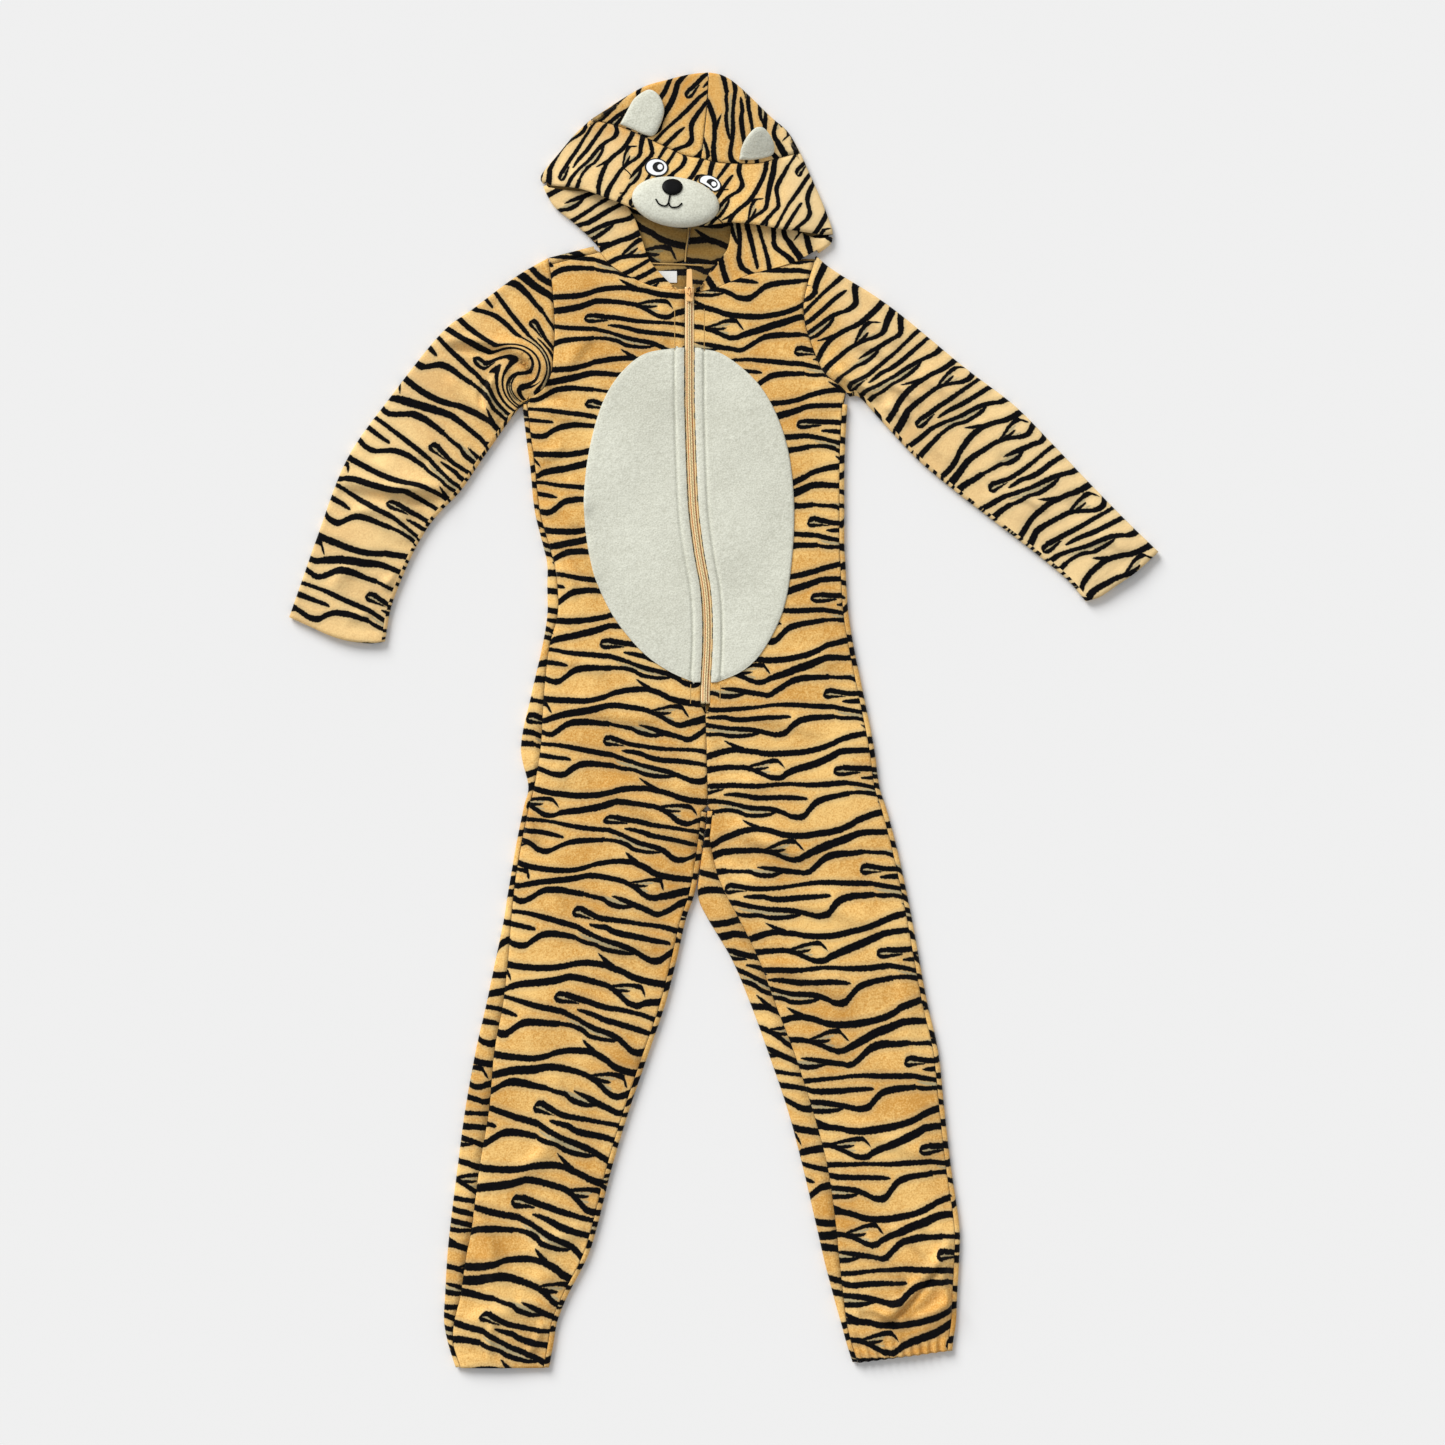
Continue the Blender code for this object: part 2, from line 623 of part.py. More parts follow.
def body_heights(side):
    """Heights of the rows below the armpit, with pairs at the zip's end and the crotch."""
    hem = HEM_RIGHT_Y if side < 0 else HEM_LEFT_INNER_Y
    torso = np.linspace(ARMPIT_Y - ARMPIT_DROP, ZIP_BOTTOM, TORSO_ROWS)
    hip = np.linspace(ZIP_BOTTOM - ZIP_CLOSE, CROTCH_Y, HIP_ROWS)
    start = CROTCH_Y - LEG_START
    leg = start + (hem - start) * crowded(LEG_ROWS, LEG_CROWD)
    return np.concatenate([torso, hip, leg])


def armhole_line(armhole):
    """The armhole's corners, from the armpit to the shoulder, shared by body and sleeve."""
    line = curve(armhole)
    armpit = ARMPIT_REACH_RIGHT if line[0, 0] < 0 else ARMPIT_REACH_LEFT
    return np.vstack([line[:1], trimmed(line, armpit, ROLL, ARMHOLE_POINTS), line[-1:]])


def armhole_body(armhole, shoulder_cut):
    """The body's side of the armhole, from the shoulder down."""
    line = beside(armhole_line(armhole), SEAM_GAP * 0.8, BODY_MIDDLE)[::-1]
    steps = np.linalg.norm(np.diff(line, axis=0), axis=1)
    along = np.concatenate([[0.0], np.cumsum(steps)])
    places = np.clip(along[1:-1], shoulder_cut, along[-2] - 3.0 * SEAM_GAP)
    return np.column_stack([np.interp(places, along, line[:, axis]) for axis in range(2)])


def neck_line(neck):
    """The corners of the back neck, shared by the back and the hood."""
    return respaced(curve(neck), BACK_COLUMNS[0])


def yoke_rows(top, start, end):
    """Rows that ease from a shaped top line down to a straight one."""
    fall = np.linspace(0.0, 1.0, len(start))[:, None, None]
    share = np.linspace(0.0, 1.0, len(top))[None, :, None]
    straight = start[:, None] * (1.0 - share) + end[:, None] * share
    shape = top[None] - (start[0] * (1.0 - share) + end[0] * share)
    return straight + (1.0 - fall) ** 1.3 * shape


def front(side, name, neck, shoulder, armhole, shoulder_cut):
    """One front, from neck and shoulder to ankle."""
    top = joined(curve(neck), curve(shoulder), *FRONT_COLUMNS)
    hole = armhole_body(armhole, shoulder_cut)
    start_y = np.linspace(top[0, 1], ARMPIT_Y, len(hole))
    start = np.column_stack([body_inner(side, start_y), start_y])
    top[0] = start[0]
    top[-1] = hole[0]
    yoke = yoke_rows(top, start, hole)
    y = body_heights(side)
    y_out = y + hem_tilt(side, y)
    inner = np.column_stack([body_inner(side, y), y])
    outer = np.column_stack([body_outer(side, y_out), y_out])
    rows = np.concatenate([yoke, between(inner, outer, sum(FRONT_COLUMNS) - 1)])
    grids = [raised(rows, body_top)]
    fans = ()
    if side > 0:
        fine = between(inner[-2:], outer[-2:], (sum(FRONT_COLUMNS) - 2) * GATHER_SPLIT + 1)
        middle = (fine[0] + fine[1]) / 2.0
        grids = [grids[0][:-1], raised(np.stack([middle, fine[1]]), body_top)]
        fans = ((grids[0][-1], grids[1][0]),)
    sheet(name, grids, FLEECE, fans=fans)


def back(side, name, neck, shoulder_end, armhole, shoulder_edge=None):
    """One back: the layer on the table and the edges that roll up round it."""
    gap = SEAM_GAP * 0.8
    y = body_heights(side)
    y_out = y + hem_tilt(side, y)
    edge_name = "right_edge" if side < 0 else "left_edge"
    seam_x = body_outer(side, y_out)
    edge = np.column_stack([across(edge_name, y_out), y_out])
    inward = normals(edge, (-side * 4000.0, -150.0))
    outer = edge + inward * ROLL
    on_leg = y < CROTCH_Y
    inner_name = "right_inner" if side < 0 else "left_inner"
    inner_edge = np.column_stack([across(inner_name, y) + side * gap, y])
    inner = inner_edge.copy()
    leg_edge = inner_edge[on_leg]
    leg_in = normals(leg_edge, (side * 4000.0, -300.0))
    inner[on_leg] = leg_edge + leg_in * ROLL

    hole = armhole_body(armhole, ROLL)
    if shoulder_edge is None:
        shoulder = curve(shoulder_end)
    else:
        shoulder_curve = trimmed(curve(shoulder_edge), 0.0, gap * 2.0, BACK_COLUMNS[1])
        shoulder_in = normals(shoulder_curve, (-32, 300))
        shoulder = shoulder_curve + shoulder_in * ROLL
        hole[0] = shoulder[-1]
    top = np.vstack([neck_line(neck)[:-1], respaced(shoulder, BACK_COLUMNS[1])])
    start_y = np.linspace(top[0, 1], ARMPIT_Y, len(hole))
    start = np.column_stack([across("right_inner", start_y) + side * gap, start_y])
    start[0] = top[0]
    top[-1] = hole[0]
    yoke = yoke_rows(top, start, hole)
    under = np.concatenate([yoke, between(inner, outer, sum(BACK_COLUMNS) - 1)])

    grids = [raised(under, 0.0), rolled(edge, inward, -90, 90)]
    seam = np.column_stack([seam_x + side * SEAM_GAP, y_out])
    grids.append(raised(between(edge + inward * ROLL, seam, 2), body_top))
    leg_seam = np.column_stack([body_inner(side, y[on_leg]) - side * SEAM_GAP, y[on_leg]])
    grids.append(rolled(leg_edge, leg_in, -90, 90))
    grids.append(raised(between(leg_edge + leg_in * ROLL, leg_seam, 2), body_top))
    if shoulder_edge is not None:
        front_seam = trimmed(curve(SHOULDER_RIGHT), 1.5, 0.0, BACK_COLUMNS[1]) + (0.0, SEAM_GAP * 1.6)
        grids.append(rolled(shoulder_curve, shoulder_in, -90, 90))
        grids.append(raised(between(shoulder, front_seam, 2), body_top))
    sheet(name, grids, FLEECE, top_is_out=False)


def roll_reach(row, edge_way):
    """How far along a row its rolled end reaches, where row and edge aren't square."""
    way = row[1] - row[0]
    sine = abs(way[0] * edge_way[1] - way[1] * edge_way[0])
    return ROLL / max(sine / np.linalg.norm(way) / np.linalg.norm(edge_way), 0.36)


def sleeve(name, inner, outer, armhole, hem, rows, crowds):
    """A flattened sleeve: a tube of cloth open at the armhole and the cuff."""
    shares = crowded(rows, crowds)
    inner_line = placed_at(curve(inner), shares)
    outer_line = placed_at(curve(outer), shares)
    head = armhole_line(armhole)
    steps = np.linalg.norm(np.diff(head, axis=0), axis=1)
    head_along = np.concatenate([[0.0], np.cumsum(steps)])
    share = (head_along / head_along[-1])[:, None]
    cuff = placed_at(curve(hem), share[:, 0])
    head_shape = head - (head[0] * (1 - share) + head[-1] * share)
    cuff_shape = cuff - (cuff[0] * (1 - share) + cuff[-1] * share)
    angles = np.radians(np.linspace(90, -90, EDGE_STEPS + 1))
    depth = 1.0 - np.cos(angles)
    inner_way = np.gradient(inner_line, axis=0)
    outer_way = np.gradient(outer_line, axis=0)
    tube = []
    for k in range(rows):
        near_head = max(0.0, 1.0 - k / 4.0) ** 1.5
        near_cuff = max(0.0, 1.0 - (rows - 1 - k) / 4.0) ** 1.5
        line = inner_line[k] * (1 - share) + outer_line[k] * share
        line = line + head_shape * near_head + cuff_shape * near_cuff
        if k == 0:
            line = beside(line, SEAM_GAP * 0.8, outer_line[-1])
        steps = np.linalg.norm(np.diff(line, axis=0), axis=1)
        along = np.concatenate([[0.0], np.cumsum(steps)])
        length = along[-1]
        near, far = along[1], length - along[-2]
        if k:
            near, far = roll_reach(line, inner_way[k]), roll_reach(line[::-1], outer_way[k])
        over = near + (length - near - far) * (along[1:-1] - along[1]) / (along[-2] - along[1])
        under = over[::-1][::UNDER_SKIP]
        places = np.concatenate([over, length - far * depth[1:], under[1:], near * depth[1:]])
        plan = np.column_stack([np.interp(places, along, line[:, axis]) for axis in range(2)])
        z = np.concatenate([
            body_top(plan[:len(over)]),
            (ROLL + ROLL * np.sin(angles))[1:],
            np.zeros(len(under) - 1),
            (ROLL - ROLL * np.sin(angles))[1:],
        ])
        z[-1] = z[0]
        tube.append(np.column_stack([plan, z]))
    sheet(name, [np.array(tube)], FLEECE)


def hood_side(side, name, top_edge, band_edge, low_edge, band_seam, back_neck):
    """Half of the hood: crown, the fold over the head, and the back beneath."""
    gap = SEAM_GAP * 1.2
    fan = 8
    edge = trimmed(top_edge, 0.0, gap * 1.5, fan)
    inward = normals(trimmed(top_edge, 0.0, gap * 1.5, 160), HOOD_MIDDLE)[np.linspace(0, 159, fan).astype(int)]
    inward[0] = (0.0, -1.0)
    rim = edge + inward * ROLL
    seam_front = curve(HOOD_SEAM_FRONT) + (side * gap, 0.0)
    centre = respaced(seam_front, 160)
    centre = trimmed(centre, ROLL, 0.0, fan)
    edge[0, 0] = rim[0, 0] = centre[0, 0]
    columns = HOOD_COLUMNS
    last = beside(respaced(band_seam, columns), SEAM_GAP * 0.8, (-30, 620))
    share = np.linspace(0.0, 1.0, columns)[None, :, None]
    crown = between(centre, rim, columns)
    fall = np.linspace(0.0, 1.0, fan)[:, None, None] ** 2
    last[0], last[-1] = centre[-1], rim[-1]
    shape = last[None] - (last[0] * (1 - share) + last[-1] * share)
    crown = crown + shape * fall
    low_rim = np.vstack([
        band_side(band_edge)[0] + band_side(band_edge)[1] * (ROLL + HOOD_TUCK),
        front_side(low_edge)[0] + front_side(low_edge)[1] * (ROLL + HOOD_TUCK),
    ])
    below = len(low_rim)
    back = respaced(curve(HOOD_SEAM_BACK), below) + (side * gap, 0.0)
    neck = trimmed(neck_line(back_neck), 0.0, ROLL * 2.0, columns) + (0.0, SEAM_GAP * 2.0)
    back[-1] = neck[0]
    neck[-1] = low_rim[-1]
    under_low = between(back, low_rim, columns)
    drop = np.linspace(0.0, 1.0, below)[:, None, None] ** 2
    under_low = under_low + (neck[None] - (neck[0] * (1 - share) + neck[-1] * share)) * drop
    under = np.concatenate([between(centre, rim, columns), under_low[1:]])
    grids = [
        raised(crown, lambda plan: hood_top(plan, CROWN_LOFT)),
        rolled(edge, inward, -90, 90),
        raised(under, 0.0),
    ]
    sheet(name, grids, FLEECE, top_is_out=False)


def band_side(edge):
    """A side edge of the hood band, with its inward normals."""
    line = trimmed(edge, SEAM_GAP * 0.8, SEAM_GAP * 0.8, BAND_SIDE_POINTS)
    return line, normals(line, HOOD_MIDDLE)


def front_side(edge):
    """The folded edge of a hood front, with its inward normals."""
    length = np.sum(np.linalg.norm(np.diff(edge, axis=0), axis=1))
    line = trimmed(edge, 0.8, 0.8, int(length / FRONT_SIDE_STEP) + 2)
    return line, normals(line, HOOD_MIDDLE)


def hood_band():
    """The band across the brow, rising from its seam to the hood's opening."""
    gap = SEAM_GAP * 0.8
    left_edge, left_in = band_side(HOOD_RIGHT_BAND)
    right_edge, right_in = band_side(HOOD_LEFT_BAND)
    left = left_edge + left_in * ROLL
    right = right_edge + right_in * ROLL
    right_half = respaced(curve(BAND_SEAM_RIGHT), HOOD_COLUMNS)[::-1]
    left_half = respaced(curve(BAND_SEAM_LEFT), HOOD_COLUMNS)
    top = beside(np.vstack([right_half, left_half[1:]]), gap, (-35, 300))
    bottom = respaced(curve(BAND_EDGE), len(top))
    top[0], top[-1] = left[0], right[0]
    bottom[0], bottom[-1] = left[-1], right[-1]
    grids = [
        raised(coons(top, bottom, left, right), band_top),
        rolled(left_edge, left_in, -90, 90),
        rolled(right_edge, right_in, -90, 90),
    ]
    sheet("hood_band", grids, FLEECE, top_is_out=True)


def hood_front(name, low_edge, top, opening, neck):
    """One side of the hood below the band, down to the neck seam."""
    edge, inward = front_side(low_edge)
    lower = beside(respaced(curve(neck), FRONT_COLUMNS[0])[::-1], SEAM_GAP, HOOD_MIDDLE)
    lower[-1] = lower[-2] + (lower[-1] - lower[-2]) * HOOD_FRONT_END
    outer = np.vstack([edge + inward * ROLL, lower])
    inner = respaced(curve(opening), len(outer))
    upper = respaced(curve(top), HOOD_FRONT_COLUMNS)
    upper[0], upper[-1] = outer[0], inner[0]
    grids = [
        raised(yoke_rows(upper, outer, inner), body_and_hood_top),
        rolled(edge, inward, -90, 90),
    ]
    sheet(name, grids, FLEECE, top_is_out=True)


def body_and_hood_top(points):
    """Height of the hood's front sides, level with the body at the neck seam."""
    return hood_top(points, LOFT)


def belly(side, name):
    """Half of the cream oval, laid on its front and moved out."""
    rows = np.array(BELLY, float)
    arc = curve([(row[1 if side < 0 else 2], row[0]) for row in rows], 15)
    inner = np.column_stack([across("right_inner", arc[:, 1]) + side * (ZIP_HALF + 0.3), arc[:, 1]])
    plan = between(inner, arc, 5)
    lift = APPLIQUE_GAP + BELLY_WALL
    sheet(name, [raised(plan, lambda points: body_top(points) + lift)], CREAM_FLEECE, BELLY_WALL)


def zip_path(y):
    """The zip's centre line and the height of the cloth beside it."""
    plan = np.column_stack([across("right_inner", y), y])
    return plan, body_top(plan)


def zip_tape(side, name):
    """One tape of the zip, between the fronts' edges."""
    y = np.linspace(ZIP_TOP, ZIP_BOTTOM + 1.0, 20)
    plan, height = zip_path(y)
    near = plan + (side * TAPE_IN, 0.0)
    far = plan + (side * TAPE_OUT, 0.0)
    z = height - TAPE_SINK
    grid = np.stack([np.column_stack([near, z]), np.column_stack([far, z])], axis=1)
    sheet(name, [grid], ORANGE_TAPE, TAPE_THICK)


def zip_chain():
    """The closed coil, as one low bar along the tapes."""
    y = np.linspace(CHAIN_TOP, ZIP_BOTTOM + 1.5, 20)
    plan, height = zip_path(y)
    base = height - TAPE_SINK + SEAM_GAP
    outline = ((-1.0, 0.0), (1.0, 0.0), (1.0, 0.6), (0.5, 1.0), (-0.5, 1.0), (-1.0, 0.6))
    bm = bmesh.new()
    rings = []
    for (x, place), z in zip(plan, base):
        rings.append([bm.verts.new((x + CHAIN_HALF * a, place, z + CHAIN_HIGH * b)) for a, b in outline])
    for ring, after in zip(rings, rings[1:]):
        for i in range(len(outline)):
            j = (i + 1) % len(outline)
            bm.faces.new((ring[i], ring[j], after[j], after[i]))
    bm.faces.new(rings[0])
    bm.faces.new(rings[-1])
    bmesh.ops.recalc_face_normals(bm, faces=bm.faces)
    placed(bm, "zip_chain", ORANGE_COIL)


def block(bm, low, high):
    """A box between two corners."""
    made = bmesh.ops.create_cube(bm, size=1.0)["verts"]
    low, high = np.array(low, float), np.array(high, float)
    bmesh.ops.scale(bm, vec=tuple(high - low), verts=made)
    bmesh.ops.translate(bm, vec=tuple((high + low) / 2.0), verts=made)
    return made


def bevel_all(bm, width, segments_count=2):
    """Round every edge of a mesh."""
    bmesh.ops.bevel(
        bm, geom=bm.edges[:], offset=width, offset_type="OFFSET", segments=segments_count,
        profile=0.5, affect="EDGES", material=-1,
    )


def cutter(bm, name, pivot):
    """A hidden object for a Boolean."""
    made = placed(bm, name, ORANGE_METAL, pivot)
    made.hide_render = True
    made.display_type = "WIRE"
    return made


def combine(thing, tool, operation):
    """Join or cut one object with another."""
    step = thing.modifiers.new(operation.lower(), "BOOLEAN")
    step.operation = operation
    step.object = tool
    step.solver = "EXACT"


def zip_pull_pivot():
    """Where the pull's cross bar turns, under the slider's bridge."""
    plan, height = zip_path(np.array([PIVOT_Y]))
    slider_top = height[0] - TAPE_SINK + SEAM_GAP + SLIDER_HIGH
    return plan[0, 0], PIVOT_Y, slider_top + PIVOT_RISE


def zip_slider():
    """The slider: a body that narrows downwards, and the bridge that holds the pull."""
    x, y, z = zip_pull_pivot()
    top = -PIVOT_RISE
    low = SLIDER_Y - SLIDER_LONG / 2.0 - y
    bm = bmesh.new()
    half = SLIDER_WIDE / 2.0
    made = block(bm, (-half, low, top - SLIDER_HIGH), (half, low + SLIDER_LONG, top))
    for vert in made:
        if vert.co.y < low + 1.0:
            vert.co.x *= 0.66
    bevel_all(bm, 0.7)
    slider = placed(bm, "zip_slider", ORANGE_METAL, (x, y, z))
    bm = bmesh.new()
    block(bm, (-BRIDGE_WIDE / 2, -BRIDGE_OUT, top - 0.8), (BRIDGE_WIDE / 2, BRIDGE_OUT, BRIDGE_CLEAR + BRIDGE_BAR))
    outer_edges = [edge for edge in bm.edges if all(v.co.z > BRIDGE_CLEAR for v in edge.verts)]
    bmesh.ops.bevel(
        bm, geom=outer_edges, offset=0.5, offset_type="OFFSET", segments=2,
        profile=0.5, affect="EDGES", material=-1,
    )
    arch = cutter(bm, "bridge_guide", (x, y, z))
    bm = bmesh.new()
    block(bm, (-BRIDGE_WIDE, -BRIDGE_IN, top), (BRIDGE_WIDE, BRIDGE_IN, BRIDGE_CLEAR))
    hole = cutter(bm, "bridge_hole_guide", (x, y, z))
    combine(arch, hole, "DIFFERENCE")
    combine(slider, arch, "UNION")


def zip_pull():
    """The pull tab, lying up the garment, with its eye round the bridge."""
    pivot = zip_pull_pivot()
    half = PULL_WIDE / 2.0
    bm = bmesh.new()
    block(bm, (-half, -PULL_THICK / 2, -PULL_THICK / 2), (half, PULL_LONG, PULL_THICK / 2))
    for vert in bm.verts:
        if vert.co.y > PULL_LONG / 2:
            vert.co.x *= 0.78
    corners = [edge for edge in bm.edges if abs(edge.verts[0].co.z - edge.verts[1].co.z) > 0.1]
    bmesh.ops.bevel(
        bm, geom=corners, offset=1.2, offset_type="OFFSET", segments=3,
        profile=0.5, affect="EDGES", material=-1,
    )
    rims = [edge for edge in bm.edges if abs(edge.calc_face_angle(0.0)) > 1.2]
    bmesh.ops.bevel(
        bm, geom=rims, offset=0.3, offset_type="OFFSET", segments=1,
        profile=0.5, affect="EDGES", material=-1,
    )
    pull = placed(bm, "zip_pull", ORANGE_METAL, pivot)
    bm = bmesh.new()
    block(bm, (-EYE_WIDE / 2, EYE_START, -PULL_THICK), (EYE_WIDE / 2, EYE_END, PULL_THICK))
    eye = cutter(bm, "pull_eye_guide", pivot)
    combine(pull, eye, "DIFFERENCE")


def turned(piece):
    """Plan radius of a point in an oval piece's own turned frame, as a function."""
    centre = np.array(piece["centre"], float)
    angle = math.radians(piece["turn"])
    frame = np.array(((math.cos(angle), -math.sin(angle)), (math.sin(angle), math.cos(angle))))
    half = np.array(piece["half"], float)

    def radius(points):
        return np.linalg.norm((np.asarray(points, float) - centre) @ frame / half, axis=1)

    return radius


def oval_outline(piece, count):
    """Plan outline of an oval piece."""
    t = np.linspace(0.0, 2.0 * math.pi, count, endpoint=False)
    angle = math.radians(piece["turn"])
    half = piece["half"]
    local = np.column_stack([np.cos(t) * half[0], np.sin(t) * half[1]])
    frame = np.array(((math.cos(angle), math.sin(angle)), (-math.sin(angle), math.cos(angle))))
    return local @ frame + np.array(piece["centre"], float)


MUZZLE_RADIUS = turned(MUZZLE)
PILLOW_RINGS = ((1.0, 0.30), (0.95, 0.62), (0.82, 0.84), (0.6, 0.96), (0.3, 1.0))


def muzzle_top(points):
    """Height of the padded muzzle's surface."""
    share = np.clip(MUZZLE_RADIUS(points), 0.0, 1.0)
    shares = [ring[0] for ring in PILLOW_RINGS][::-1]
    heights = [ring[1] for ring in PILLOW_RINGS][::-1]
    return band_top(points) + APPLIQUE_GAP + MUZZLE["thick"] * np.interp(share, shares, heights)


def pillow(name, outline, base, thick, finish, rings=PILLOW_RINGS):
    """A low padded piece over an outline: its flat back follows a base height."""
    outline = np.asarray(outline, float)
    middle = outline.mean(axis=0)
    bm = bmesh.new()

    def ring(share, lift):
        plan = middle + (outline - middle) * share
        return [bm.verts.new((p[0], p[1], z + lift)) for p, z in zip(plan, base(plan))]

    def cap(loop, lift):
        z = base(middle[None])[0] + lift
        tip = bm.verts.new((middle[0], middle[1], z))
        for a, b in zip(loop, loop[1:] + loop[:1]):
            bm.faces.new((a, b, tip))

    loops = [ring(0.5, 0.0), ring(0.97, 0.0)] + [ring(share, thick * level) for share, level in rings]
    for lower, upper in zip(loops, loops[1:]):
        for a, b, c, d in zip(lower, lower[1:] + lower[:1], upper[1:] + upper[:1], upper):
            bm.faces.new((a, b, c, d))
    cap(loops[0], 0.0)
    cap(loops[-1], thick)
    bmesh.ops.recalc_face_normals(bm, faces=bm.faces)
    placed(bm, name, finish)


def eye(name, piece):
    """An appliqued eye, tucked against the muzzle's edge."""
    outline = oval_outline(piece, 16)
    share = MUZZLE_RADIUS(outline)
    centre = np.array(MUZZLE["centre"], float)
    push = np.maximum(1.04 / share, 1.0)[:, None]
    outline = centre + (outline - centre) * push
    pillow(
        name, outline, lambda plan: band_top(plan) + APPLIQUE_GAP, piece["thick"],
        WHITE_FELT, ((1.0, 0.5), (0.9, 1.0)),
    )


def ear(name, outline, tilt):
    """A cream ear caught in the band's seam, lying back on the crown."""
    outline = np.array(outline, float)
    lean = math.tan(math.radians(tilt))

    def base(plan):
        past_root = np.maximum(distance(plan, segments([BAND_SEAM])) - EAR_ROOT, 0.0)
        return hood_top(plan, CROWN_LOFT) + APPLIQUE_GAP + 0.3 + past_root * lean

    pillow(name, respaced(curve(np.vstack([outline, outline[:1]])), 19)[:-1], base, EAR_THICK,
           CREAM_FLEECE, ((1.0, 0.45), (0.92, 0.85), (0.6, 1.0)))


def neck_label():
    """The blank label inside the back neck."""
    x, y = LABEL_CENTRE
    wide, long, thick = LABEL_SIZE
    bm = bmesh.new()
    low = WALL + SEAM_GAP
    block(bm, (x - wide / 2, y - long / 2, low), (x + wide / 2, y + long / 2, low + thick))
    placed(bm, "neck_label", LABEL_CLOTH)


front(-1, "front_right", NECK_FRONT_RIGHT, SHOULDER_RIGHT, ARMHOLE_RIGHT, 8.5)
front(1, "front_left", NECK_FRONT_LEFT, SHOULDER_LEFT, ARMHOLE_LEFT, 5.5)
back(-1, "back_right", NECK_BACK_RIGHT, SHOULDER_RIGHT, ARMHOLE_RIGHT, SHOULDER_EDGE_RIGHT)
back(1, "back_left", NECK_BACK_LEFT, SHOULDER_END_LEFT, ARMHOLE_LEFT)
sleeve(
    "sleeve_right", SLEEVE_RIGHT_INNER, SLEEVE_RIGHT_OUTER, ARMHOLE_RIGHT, SLEEVE_RIGHT_HEM,
    26, SLEEVE_RIGHT_CROWDS,
)
sleeve(
    "sleeve_left", SLEEVE_LEFT_INNER, SLEEVE_LEFT_OUTER, ARMHOLE_LEFT, SLEEVE_LEFT_HEM,
    22, SLEEVE_LEFT_CROWDS,
)
hood_side(
    -1, "hood_side_right", HOOD_RIGHT_TOP, HOOD_RIGHT_BAND, HOOD_RIGHT_LOW,
    curve(BAND_SEAM_RIGHT), NECK_BACK_RIGHT,
)
hood_side(
    1, "hood_side_left", HOOD_LEFT_TOP, HOOD_LEFT_BAND, HOOD_LEFT_LOW,
    curve(BAND_SEAM_LEFT), NECK_BACK_LEFT,
)
hood_band()
hood_front("hood_front_right", HOOD_RIGHT_LOW, FRONT_RIGHT_TOP, FRONT_RIGHT_OPENING, NECK_FRONT_RIGHT)
hood_front("hood_front_left", HOOD_LEFT_LOW, FRONT_LEFT_TOP, FRONT_LEFT_OPENING, NECK_FRONT_LEFT)
ear("ear_right", EAR_RIGHT, EAR_RIGHT_TILT)
ear("ear_left", EAR_LEFT, EAR_LEFT_TILT)
pillow(
    "muzzle", oval_outline(MUZZLE, 22), lambda plan: band_top(plan) + APPLIQUE_GAP,
    MUZZLE["thick"], CREAM_FLEECE,
)
pillow(
    "nose", oval_outline(NOSE, 16), lambda plan: muzzle_top(plan) + APPLIQUE_GAP + 0.2,
    NOSE["thick"], BLACK_SATIN, ((1.0, 0.5), (0.85, 1.0)),
)
eye("eye_right", EYE_RIGHT)
eye("eye_left", EYE_LEFT)
belly(-1, "belly_right")
belly(1, "belly_left")
zip_tape(-1, "zip_tape_right")
zip_tape(1, "zip_tape_left")
zip_chain()
zip_slider()
zip_pull()
neck_label()
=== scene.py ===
# %% [markdown]
# # A child's tiger onesie, laid flat
#
# The garment lies on its back on a pale floor, seen from straight above. Its CAD frame gives every
# panel a plain rigid wall. This notebook sews finer panels over those walls: the same outlines, with
# the roll of the edges, the creases, the fleece pile, the printed stripes, the zip and the face.
#
# Sizes are in millimetres as seen from above, until a piece is made and turned into metres.

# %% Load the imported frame
import math
from functools import reduce

import bmesh
import bpy
import numpy as np
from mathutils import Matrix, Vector


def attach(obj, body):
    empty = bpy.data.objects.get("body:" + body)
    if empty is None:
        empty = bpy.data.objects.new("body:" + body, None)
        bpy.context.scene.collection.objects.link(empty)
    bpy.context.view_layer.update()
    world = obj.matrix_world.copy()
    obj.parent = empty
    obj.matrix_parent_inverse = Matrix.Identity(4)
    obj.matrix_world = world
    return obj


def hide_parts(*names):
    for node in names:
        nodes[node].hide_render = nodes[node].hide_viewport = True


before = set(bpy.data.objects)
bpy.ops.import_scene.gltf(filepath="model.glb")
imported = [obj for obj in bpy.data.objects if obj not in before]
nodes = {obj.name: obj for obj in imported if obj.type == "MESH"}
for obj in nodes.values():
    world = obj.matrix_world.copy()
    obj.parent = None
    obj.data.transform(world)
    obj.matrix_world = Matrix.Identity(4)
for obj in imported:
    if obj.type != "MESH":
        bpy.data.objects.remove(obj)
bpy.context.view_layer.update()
print("CAD nodes:", len(nodes))

# %% [markdown]
# ## The camera
#
# The photograph looks straight down. A long lens high above the cloth keeps the outline true, so a
# length on the cloth is the same number of pixels everywhere. One pixel of the photograph is
# 0.95 mm here, and the image is 1445 pixels across.

# %% Camera
MM = 0.001
PIXEL = 0.95
IMAGE = 1445
IMAGE_MIDDLE = 722.5
ORIGIN_X, ORIGIN_Y = 723.25, 722.5
SHIFT_X = -0.5
SHIFT_Y = -2.3
LENS = 85.0
SENSOR = 36.0


def add_object(name, data):
    """A new object in the scene."""
    made = bpy.data.objects.new(name, data)
    bpy.context.collection.objects.link(made)
    return made


